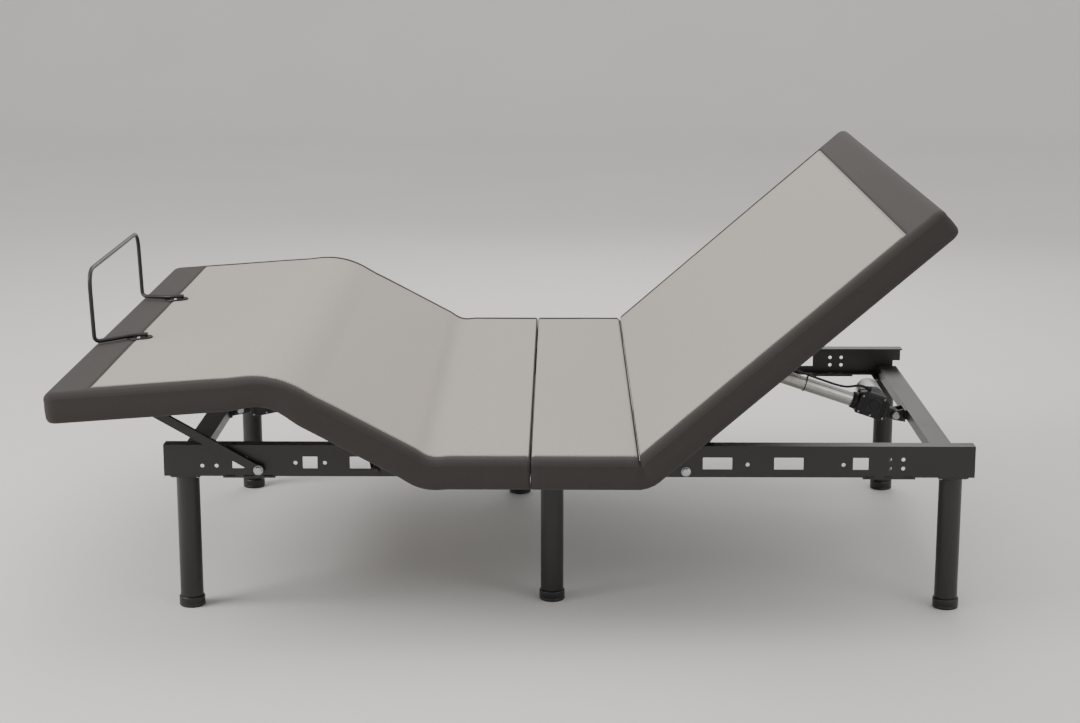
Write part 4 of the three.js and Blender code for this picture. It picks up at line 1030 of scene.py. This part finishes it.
class BED_OT_actuators(bpy.types.Operator):
    """Builds the two actuators' housings, motors, extruded tubes and rods"""
    bl_idname = "bed.actuators"
    bl_label = "Actuators"

    def execute(self, context):
        for name in ("head", "thigh"):
            slide = JOINTS[f"{name}_rod_slide"]["axis"]
            turn = local_frame(f"{name}_actuator_pin", (slide[0], slide[2]))
            body = f"{name}_actuator"
            self.housing(name, turn, body)
            self.motor(name, turn, body)
            self.tube_and_rod(name, turn, body)
            self.bracket_bolt(name)
        return {"FINISHED"}

    def housing(self, name, turn, body):
        """A two-part moulded gear housing with ribs, screw bosses and a split line."""
        bm = bmesh.new()
        outline = [
            (0.022, -0.0185), (0.030, -0.0235), (0.0995, -0.0235), (0.0995, 0.0285), (0.082, 0.0355),
            (0.036, 0.0355), (0.022, 0.0225)]
        add_prism(bm, turn, outline, -0.0297, -0.0008, 0.0035)
        add_prism(bm, turn, outline, 0.0008, 0.0297, 0.0035)
        inner = [
            (0.0235, -0.0175), (0.0305, -0.0220), (0.0980, -0.0220), (0.0980, 0.0275), (0.0815, 0.0340),
            (0.0365, 0.0340), (0.0235, 0.0220)]
        add_prism(bm, turn, inner, -0.0012, 0.0012, 0.0)
        # Ribs and a bearing boss on the side away from the motor.
        for x in (0.032, 0.038, 0.078, 0.084, 0.090):
            add_box(bm, (x - 0.0012, -0.0312, -0.012), (x + 0.0012, -0.0292, 0.022), turn, 0.0005)
        centre = turn @ Vector((MOTOR_ALONG, -0.0295, 0.010))
        across = turn.to_3x3() @ Vector((0, -1, 0))
        add_lathe(bm, centre, across, [
            (0, 0.0155), (0.0018, 0.0152), (0.0024, 0.0140), (0.0024, 0.0105), (0.0014, 0.0100),
            (0.0014, 0.0020)], 40)
        bosses = ((0.031, -0.0165), (0.092, -0.0175), (0.092, 0.0220), (0.040, 0.0290), (0.062, -0.0180))
        for x, z in bosses:
            spot = turn @ Vector((x, -0.0297, z))
            add_lathe(bm, spot, across, [(0, 0.0046), (0.0012, 0.0044), (0.0014, 0.0030)], 20)
            add_screw(bm, spot + across * 0.0012, across, 0.0027, 1)
        # Lug round the bracket pin, and the collar that grips the tube.
        lug = [(0.012 * c, 0.012 * s) for c, s in (circle(28)[7:22])] + [(0.026, -0.0118), (0.026, 0.0118)]
        add_prism(bm, turn, lug, -0.0178, 0.0178, 0.0016)
        along = turn.to_3x3() @ Vector((1, 0, 0))
        add_lathe(bm, turn @ Vector((0.098, 0, 0)), along, [
            (0, 0.0180), (0, 0.0212), (0.0120, 0.0205), (0.0132, 0.0195), (0.0132, 0.0172)], 48)
        piece = new_piece(f"{name}_gear_housing", bm, ("housing", "zinc"), sharp_angle=38)
        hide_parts(f"{name}_actuator_gearbox")
        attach(piece, body)

    def motor(self, name, turn, body):
        """A drawn steel motor can with a rolled end and a bearing cup."""
        bm = bmesh.new()
        start = turn @ Vector((MOTOR_ALONG, 0.0303, 0.014))
        across = turn.to_3x3() @ Vector((0, 1, 0))
        add_lathe(bm, start, across, [
            (0.0, 0.0240), (0.0, 0.0284), (0.0010, 0.0290), (0.0060, 0.0290), (0.0066, 0.0284),
            (0.0078, 0.0284), (0.0084, 0.0290), (0.0900, 0.0290), (0.0940, 0.0280), (0.0958, 0.0262),
            (0.0962, 0.0235), (0.0958, 0.0120), (0.0966, 0.0112), (0.1012, 0.0108), (0.1020, 0.0098),
            (0.1020, 0.0030)], 64)

        def end_spot(radius, angle):
            outward = turn.to_3x3() @ Vector((math.cos(angle), 0, math.sin(angle)))
            return start + across * MOTOR_LENGTH + outward * radius

        for k in range(6):
            vent = end_spot(0.019, 2 * math.pi * k / 6 + 0.3)
            add_lathe(bm, vent, across, [(0.0, 0.0026), (0.0006, 0.0024)], 12, 1)
        for angle in (0.9, 0.9 + math.pi):
            add_screw(bm, end_spot(0.020, angle), across, 0.0030, 2)
        piece = new_piece(f"{name}_motor_can", bm, ("motor", "housing", "zinc"), sharp_angle=32)
        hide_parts(f"{name}_actuator_motor")
        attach(piece, body)

    def tube_and_rod(self, name, turn, body):
        """A fluted aluminium outer tube with a nylon nose, and a plated rod with an eye."""
        length = (rod_eye(name) - pivot_of(f"{name}_actuator_pin")).length
        tube_end = length - TUBE_END_TO_EYE[name]
        along = turn.to_3x3() @ Vector((1, 0, 0))
        bm = bmesh.new()
        section = []
        for k in range(72):
            degrees = 360 * k / 72
            groove = sum(math.exp(-((degrees - at) / 7.0) ** 2) for at in (70, 110, 250, 290))
            radius = 0.0169 - 0.0016 * groove
            angle = math.radians(degrees)
            section.append((radius * math.cos(angle), radius * math.sin(angle)))
        add_skin(bm, [[turn @ Vector((x, y * scale, z * scale)) for y, z in section] for x, scale in (
            (TUBE_START, 0.985), (TUBE_START + 0.0008, 1.0), (tube_end - 0.0012, 1.0),
            (tube_end - 0.0004, 0.985))])
        add_lathe(bm, turn @ Vector((tube_end - 0.0110, 0, 0)), along, [
            (0, 0.0166), (0, 0.0178), (0.0090, 0.0178), (0.0110, 0.0166), (0.0120, 0.0140),
            (0.0120, 0.0094)], 48, 1)
        tube = new_piece(f"{name}_extruded_tube", bm, ("aluminium", "housing"), sharp_angle=40)
        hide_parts(f"{name}_actuator_tube")
        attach(tube, body)

        bm = bmesh.new()
        reach = ROD_END_TO_EYE[name]
        add_lathe(bm, turn @ Vector((length - reach, 0, 0)), along, [
            (0, 0.0080), (0.001, ROD_RADIUS), (reach - 0.0130, ROD_RADIUS), (reach - 0.0110, 0.0080)], 40)
        outline = [(length + EYE_RADIUS * c, EYE_RADIUS * s) for c, s in circle(32)]
        add_prism(bm, turn, outline, -ROD_RADIUS, ROD_RADIUS, 0.0010)
        piece = new_piece(f"{name}_push_rod", bm, ("zinc",), sharp_angle=40)
        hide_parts(f"{name}_actuator_rod")
        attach(piece, f"{name}_rod")
        # The eye's pin stays with the lever of the lift frame.
        bm = bmesh.new()
        for side in (-1, 1):
            start = turn @ Vector((length, side * 0.0158, 0))
            across = turn.to_3x3() @ Vector((0, side, 0))
            add_lathe(bm, start, across, [
                (0, 0.0048), (0, 0.0088), (0.0026, 0.0088), (0.0034, 0.0076), (0.0034, 0.0030)], 24)
        pin_heads = new_piece(f"{name}_lever_pin", bm, ("zinc",), sharp_angle=35)
        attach(pin_heads, f"{name}_lift")

    def bracket_bolt(self, name):
        """The clevis pin's head and its split pin at the bracket."""
        pin = pivot_of(f"{name}_actuator_pin")
        bm = bmesh.new()
        reach = 0.0239
        split_pin_y = pin.y + reach + 0.0030
        add_lathe(bm, (pin.x, pin.y - reach, pin.z), (0, -1, 0), [
            (0, 0.0052), (0, 0.0092), (0.0034, 0.0092), (0.0046, 0.0082), (0.0050, 0.0066),
            (0.0050, 0.0020)], 32)
        add_lathe(bm, (pin.x, pin.y + reach, pin.z), (0, 1, 0), [
            (0, 0.0052), (0, 0.0090), (0.0012, 0.0090), (0.0012, 0.0050), (0.0045, 0.0049)], 32)
        add_tube(bm, [(pin.x + dx, split_pin_y, pin.z + dz)
                      for dx, dz in ((-0.009, 0), (0.009, 0), (0.012, -0.004))], 0.0011, 8)
        piece = new_piece(f"{name}_bracket_pin_head", bm, ("zinc",), sharp_angle=35)
        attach(piece, "base_frame")


def rod_eye(name):
    """The middle of a rod's eye, from the far end of its box along the slide axis."""
    low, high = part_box(f"{name}_actuator_rod")
    axis = Vector(JOINTS[f"{name}_rod_slide"]["axis"])
    pin = pivot_of(f"{name}_actuator_pin")
    end_x = low[0] + 0.014 if axis.x < 0 else high[0] - 0.014
    return pin + axis * ((end_x - pin.x) / axis.x)


# ---------------------------------------------------------------- drag links and retainer

# Distance from the knee to a drag link's upper bolt, along the foot section.
LINK_ALONG = 0.341
# The retainer: the height of its top bar over the deck, its bar, and the middle of its plates.
RETAINER_HEIGHT = 0.172
RETAINER_BAR_RADIUS = 0.005
PLATE_ALONG = 0.364

class BED_OT_drag_links(bpy.types.Operator):
    """Adds the drag links' upper bolts and the brackets' screws"""
    bl_idname = "bed.drag_links"
    bl_label = "Drag link fittings"

    def execute(self, context):
        bm = bmesh.new()
        for side in SIDES.values():
            y = side * (RAIL_OUTER + 0.0205)
            top = FOOT_MATRIX @ Vector((LINK_ALONG, 0, -0.0422))
            add_hex_bolt(bm, (top.x, y, top.z), (0, side, 0), 0.0080, 0.0062, 0.0100)
            for dx in (-0.036, 0.036):
                spot = FOOT_MATRIX @ Vector((LINK_ALONG + dx, 0, -0.0078))
                add_screw(bm, (spot.x, side * (RAIL_OUTER + 0.0080), spot.z), (0, 0, -1), 0.0042)
        piece = new_piece("link_bracket_bolts", bm, ("zinc",), sharp_angle=30)
        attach(piece, "foot_section")
        return {"FINISHED"}


def add_oval(bm, turn, centre, profile, material=0):
    """A pressed oval plate: profile holds (height, half length, half width)."""
    add_skin(bm, [[turn @ (centre + Vector((half_x * c, half_y * s, height))) for c, s in circle(48)]
                  for height, half_x, half_y in profile], material)


def bent_bar(points, setbacks, steps=10):
    """Points along straight runs joined by rounded corners, one setback for each corner."""
    points = [Vector(point) for point in points]
    path = [points[0]]
    for k in range(1, len(points) - 1):
        back = (points[k - 1] - points[k]).normalized() * setbacks[k - 1]
        ahead = (points[k + 1] - points[k]).normalized() * setbacks[k - 1]
        for step in range(steps + 1):
            t = step / steps
            path.append(points[k] + back * (1 - t) ** 2 + ahead * t ** 2)
    return path + [points[-1]]


class BED_OT_retainer(bpy.types.Operator):
    """Bends the mattress retainer and presses its two mounting plates"""
    bl_idname = "bed.retainer"
    bl_label = "Mattress retainer"

    def execute(self, context):
        deck_top = DECK_TOP - KNEE_FLAT.z
        low = deck_top + 0.0088
        high = deck_top + RETAINER_HEIGHT
        half = 0.280
        plate = 0.235
        route = [(0.345, -plate, low), (0.384, -plate, low), (0.458, -half, low), (0.452, -half, high),
                 (0.452, half, high), (0.458, half, low), (0.384, plate, low), (0.345, plate, low)]
        setbacks = (0.015, 0.015, 0.046, 0.046, 0.015, 0.015)
        bm = bmesh.new()
        add_tube(bm, [FOOT_MATRIX @ point for point in bent_bar(route, setbacks)], RETAINER_BAR_RADIUS, 20)
        for side in (-1, 1):
            add_oval(bm, FOOT_MATRIX, Vector((PLATE_ALONG, side * plate, deck_top + 0.0003)), [
                (0.0000, 0.0290, 0.0215), (0.0006, 0.0298, 0.0223), (0.0030, 0.0298, 0.0223),
                (0.0042, 0.0290, 0.0215), (0.0044, 0.0276, 0.0201), (0.0034, 0.0262, 0.0187),
                (0.0032, 0.0200, 0.0140), (0.0036, 0.0080, 0.0060)])
            for dy in (-0.0125, 0.0125):
                spot = FOOT_MATRIX @ Vector((PLATE_ALONG, side * plate + dy, deck_top + 0.0036))
                up = FOOT_MATRIX.to_3x3() @ Vector((0, 0, 1))
                add_screw(bm, spot, up, 0.0045, 1)
            for dy in (-0.0048, 0.0048):
                ends = [FOOT_MATRIX @ Vector((PLATE_ALONG + dx, side * plate + dy, deck_top + 0.0046))
                        for dx in (-0.015, 0.015)]
                add_bead(bm, ends[0], ends[1], 0.0018)
        piece = new_piece("retainer_bar", bm, ("steel", "zinc"), sharp_angle=40)
        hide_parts("mattress_retainer")
        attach(piece, "foot_section")
        return {"FINISHED"}


# ---------------------------------------------------------------- lead and stitching

# The lead's far run is measured from this distance behind the head actuator's pin.
LEAD_ORIGIN = 0.796
TIE_ALONG = 0.232

def smooth_route(points, steps=7):
    """A centripetal curve through the points."""
    points = [Vector(point) for point in points]
    points = [2 * points[0] - points[1]] + points + [2 * points[-1] - points[-2]]
    path = []
    for p0, p1, p2, p3 in zip(points, points[1:], points[2:], points[3:]):
        t0 = 0.0
        t1 = t0 + math.sqrt((p1 - p0).length)
        t2 = t1 + math.sqrt((p2 - p1).length)
        t3 = t2 + math.sqrt((p3 - p2).length)
        for step in range(steps):
            t = t1 + (t2 - t1) * step / steps
            a1 = p0.lerp(p1, (t - t0) / (t1 - t0))
            a2 = p1.lerp(p2, (t - t1) / (t2 - t1))
            a3 = p2.lerp(p3, (t - t2) / (t3 - t2))
            b1 = a1.lerp(a2, (t - t0) / (t2 - t0))
            b2 = a2.lerp(a3, (t - t1) / (t3 - t1))
            path.append(b1.lerp(b2, (t - t1) / (t2 - t1)))
    return path + [points[-2]]


class BED_OT_head_motor_lead(bpy.types.Operator):
    """Lays the head motor's lead along the tube to the control box, with its ties"""
    bl_idname = "bed.head_motor_lead"
    bl_label = "Head motor lead"

    def execute(self, context):
        slide = JOINTS["head_rod_slide"]["axis"]
        turn = local_frame("head_actuator_pin", (slide[0], slide[2]))
        pin = pivot_of("head_actuator_pin")
        base_x = pin.x - LEAD_ORIGIN
        box_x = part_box("control_box")[1][0] + 0.0003 - base_x
        route = [turn @ Vector(point) for point in (
            (0.078, -0.016, 0.041), (0.106, -0.016, 0.041), (0.140, -0.014, 0.027), (0.220, -0.012, 0.025),
            (0.270, -0.014, 0.027), (0.312, -0.040, 0.022))]
        route += [Vector((base_x + x, y, z)) for x, y, z in (
            (0.440, -0.060, 0.402), (0.390, -0.096, 0.372), (0.330, -0.122, 0.352), (0.280, -0.138, 0.348),
            (0.220, -0.146, 0.352), (box_x + 0.024, -0.146, 0.357), (box_x, -0.146, 0.357))]
        bm = bmesh.new()
        add_tube(bm, smooth_route(route), 0.003, 16)
        along = turn.to_3x3() @ Vector((1, 0, 0))
        add_lathe(bm, turn @ Vector((0.0775, -0.016, 0.041)), along,
                  [(0, 0.0034), (0, 0.0056), (0.010, 0.0052), (0.014, 0.0040), (0.015, 0.0031)], 20)
        lead = new_piece("head_motor_lead", bm, ("cable",), sharp_angle=40)
        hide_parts("head_motor_cable")
        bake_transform(lead)
        bm = bmesh.new()
        ring = [turn @ Vector((TIE_ALONG, 0.0182 * c, 0.0182 * s)) for c, s in circle(32)]
        add_tube(bm, ring + [ring[0]], 0.0012, 8)
        loop = ((-0.010, 0.0175), (-0.017, 0.0285), (-0.009, 0.0305), (-0.004, 0.0185))
        add_tube(bm, [turn @ Vector((TIE_ALONG, y, z)) for y, z in loop], 0.0011, 8)
        ties = new_piece("lead_ties", bm, ("cable",), sharp_angle=40)
        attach(ties, "head_actuator")
        return {"FINISHED"}


def add_stitches(bm, split_x, end_x, border, creases, fold, keep):
    """Two rows of thread along the seam round a light panel, one at each side of it."""
    deck = bpy.context.scene.bed_deck
    way = 1 if end_x > split_x else -1
    panel_x = end_x - way * border
    half = HALF_WIDTH - deck.panel_edge
    spots = []
    pitch = 0.0062
    stitch_length = 0.0042
    thread = 0.00042
    for offset in (-0.0034, 0.0034):
        for k in range(int((abs(panel_x - split_x) - 0.012) / pitch)):
            x = split_x + way * (0.010 + pitch * k)
            if keep[0] < x < keep[1] and all(abs(x - crease[0]) > 0.006 for crease in creases):
                spots += [(x, side * (half + offset), 1.0, 0.0) for side in (-1, 1)]
        if keep[0] < panel_x < keep[1]:
            for k in range(int(2 * half / pitch)):
                spots.append((panel_x + way * offset, -half + pitch * (k + 0.5), 0.0, 1.0))
    for x, y, along_x, along_y in spots:
        rise = DECK_TOP + cover_height(x, y, split_x, end_x, panel_x, creases)
        rings = []
        for t, thick in ((-0.5, 0.15), (-0.32, 0.8), (0.0, 1.0), (0.32, 0.8), (0.5, 0.15)):
            px = x + along_x * t * stitch_length
            py = y + along_y * t * stitch_length
            ring = []
            for c, s in circle(4):
                wide = thread * thick * c
                height = rise + 0.0003 * thick - 0.0001 + thread * thick * s
                ring.append(fold(Vector((px + along_y * wide, py + along_x * wide, height))))
            rings.append(ring)
        add_skin(bm, rings)


class BED_OT_stitching(bpy.types.Operator):
    """Stitches the seams round the two light panels"""
    bl_idname = "bed.stitching"
    bl_label = "Stitching"

    def execute(self, context):
        deck = context.scene.bed_deck
        for name, split_x, end_x, border, creases, fold, keep, bodies, ends in (
                ("stitches_head_half", SPLIT_HEAD, HEAD_END, deck.head_border, HIP_CREASE, fold_head,
                 (SPLIT_HEAD, HEAD_END), ("base_frame", "head_section"), HIP_ENDS),
                ("stitches_seat_to_thigh", SPLIT_FOOT, FOOT_END, deck.foot_border, KNEE_HOLLOW, fold_foot,
                 (THIGH_MIDDLE, SPLIT_FOOT), ("base_frame", "thigh_section"), THIGH_ENDS),
                ("stitches_thigh_to_foot", SPLIT_FOOT, FOOT_END, deck.foot_border, KNEE_HOLLOW, fold_foot,
                 (FOOT_END, THIGH_MIDDLE), ("thigh_section", "foot_section"), KNEE_ENDS)):
            bm = bmesh.new()
            add_stitches(bm, split_x, end_x, border, creases, fold, keep)
            piece = new_piece(name, bm, ("thread",))
            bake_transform(piece)
        return {"FINISHED"}


# ---------------------------------------------------------------- finishes of the CAD pieces

# The CAD nodes that stay in view, by the starts of their names, under their finish.
FINISHES = {
    "steel": ("side_rail", "cross_member", "head_lift_ramp", "thigh_lift_ramp", "head_lift_frame",
              "thigh_lift_frame", "head_actuator_bracket", "thigh_actuator_bracket", "drag_link",
              "foot_link_bracket"),
    "housing": ("control_box",),
    "zinc": ("hip_hinge_pin", "thigh_hinge_pin", "knee_hinge_pin"),
}


class BED_OT_finishes(bpy.types.Operator):
    """Gives the CAD pieces that stay in view their finishes"""
    bl_idname = "bed.finishes"
    bl_label = "Finishes"

    def execute(self, context):
        for node in CAD_NODES:
            for key, starts in FINISHES.items():
                if node.startswith(starts):
                    for slot in bpy.data.objects[node].material_slots:
                        slot.link = "OBJECT"
                        slot.material = MATERIALS[key]
        return {"FINISHED"}


# ---------------------------------------------------------------- stage

CAMERA_PLACE = (0.0823, -4.9371, 1.5426)
# Degrees that the camera looks down, and that it is turned to the left.
CAMERA_DOWN = 12.477
CAMERA_TURN = 0.554

class BED_OT_stage(bpy.types.Operator):
    """Sets out the floor, the soft studio light and the camera"""
    bl_idname = "bed.stage"
    bl_label = "Stage"

    def execute(self, context):
        stage = context.scene.bed_stage
        floor_material, tree, shader = new_material("pale_matt_floor", Roughness=0.75)
        place = add_node(tree, "ShaderNodeTexCoord")
        clouds = add_node(tree, "ShaderNodeTexNoise", {}, {
            "Vector": place.outputs["Object"], "Scale": 1.2, "Detail": 3.0})
        tint(tree, shader, clouds.outputs["Fac"], shade(stage.floor_colour, 0.985), stage.floor_colour)
        bm = bmesh.new()
        wall_radius = 2.5
        wall_start = 8.5
        sweep = [(-10.0, 0.0), (wall_start, 0.0)]
        sweep += [(wall_start + wall_radius * s, wall_radius - wall_radius * c) for c, s in circle(64)[1:17]]
        sweep.append((wall_start + wall_radius, 8.0))
        lines = [[bm.verts.new((x, y, z)) for y, z in sweep] for x in (-12.0, 12.0)]
        for k in range(len(sweep) - 1):
            bm.faces.new((lines[0][k], lines[1][k], lines[1][k + 1], lines[0][k + 1]))
        mesh = bpy.data.meshes.new("studio_floor")
        bm.to_mesh(mesh)
        bm.free()
        mesh.materials.append(floor_material)
        mesh.polygons.foreach_set("use_smooth", [True] * len(mesh.polygons))
        floor = bpy.data.objects.new("studio_floor", mesh)
        context.scene.collection.objects.link(floor)

        for name, place_at, aim, size, power, warm in (
                ("key_softbox", (-3.7, -1.7, 3.1), (0, 0, 0.4), 2.4, 150, (1.0, 0.985, 0.96)),
                ("fill_softbox", (3.4, -3.2, 2.2), (0, 0, 0.4), 2.4, 30, (1.0, 1.0, 1.0)),
                ("top_softbox", (0.2, 0.6, 4.0), (0, 0, 0.3), 3.4, 55, (1.0, 1.0, 1.0)),
                ("back_softbox", (0.5, 3.6, 2.6), (0, 0, 0.5), 2.6, 40, (1.0, 1.0, 1.0))):
            light = bpy.data.lights.new(name, "AREA")
            light.shape = "SQUARE"
            light.size = size
            light.energy = power
            light.color = warm
            lamp = bpy.data.objects.new(name, light)
            lamp.location = place_at
            lamp.rotation_euler = (Vector(aim) - Vector(place_at)).to_track_quat("-Z", "Y").to_euler()
            context.scene.collection.objects.link(lamp)
        world = bpy.data.worlds.new("studio_world")
        world.use_nodes = True
        world.node_tree.nodes["Background"].inputs["Color"].default_value = (1.0, 0.985, 0.965, 1.0)
        world.node_tree.nodes["Background"].inputs["Strength"].default_value = 0.72
        context.scene.world = world

        camera = bpy.data.cameras.new("camera")
        camera.sensor_width = 36.0
        camera.lens = stage.lens
        camera.clip_end = 60.0
        viewer = bpy.data.objects.new("camera", camera)
        viewer.location = CAMERA_PLACE
        viewer.rotation_euler = (math.radians(90 - CAMERA_DOWN), 0.0, math.radians(CAMERA_TURN))
        context.scene.collection.objects.link(viewer)
        context.scene.camera = viewer
        return {"FINISHED"}


# ---------------------------------------------------------------- the add-on

class BED_PT_panel(bpy.types.Panel):
    """Lists the steps of building the bed base"""
    bl_label = "Bed Base"
    bl_idname = "BED_PT_panel"
    bl_space_type = "VIEW_3D"
    bl_region_type = "UI"
    bl_category = "Bed Base"

    def draw(self, context):
        for group in (context.scene.bed_deck, context.scene.bed_frame, context.scene.bed_stage):
            for key in group.bl_rna.properties.keys():
                if key not in ("rna_type", "name"):
                    self.layout.prop(group, key)
        for operator in OPERATORS:
            self.layout.operator(operator.bl_idname)


SETTINGS = (DeckSettings, FrameSettings, StageSettings)
OPERATORS = (
    BED_OT_stage, BED_OT_deck_cover, BED_OT_dust_cloths, BED_OT_legs, BED_OT_frame_fittings,
    BED_OT_lift_fittings, BED_OT_actuators, BED_OT_drag_links, BED_OT_retainer, BED_OT_head_motor_lead,
    BED_OT_stitching, BED_OT_finishes,
)


def register():
    """Adds the classes and the scene's settings."""
    for item in SETTINGS + OPERATORS + (BED_PT_panel,):
        bpy.utils.register_class(item)
    bpy.types.Scene.bed_deck = PointerProperty(type=DeckSettings)
    bpy.types.Scene.bed_frame = PointerProperty(type=FrameSettings)
    bpy.types.Scene.bed_stage = PointerProperty(type=StageSettings)


def unregister():
    """Takes the settings and the classes away again."""
    del bpy.types.Scene.bed_deck, bpy.types.Scene.bed_frame, bpy.types.Scene.bed_stage
    for item in reversed(SETTINGS + OPERATORS + (BED_PT_panel,)):
        bpy.utils.unregister_class(item)


def main():
    """Builds every piece."""
    register()
    make_materials()
    for operator in OPERATORS:
        group, name = operator.bl_idname.split(".")
        getattr(getattr(bpy.ops, group), name)()


if __name__ == "__main__":
    main()
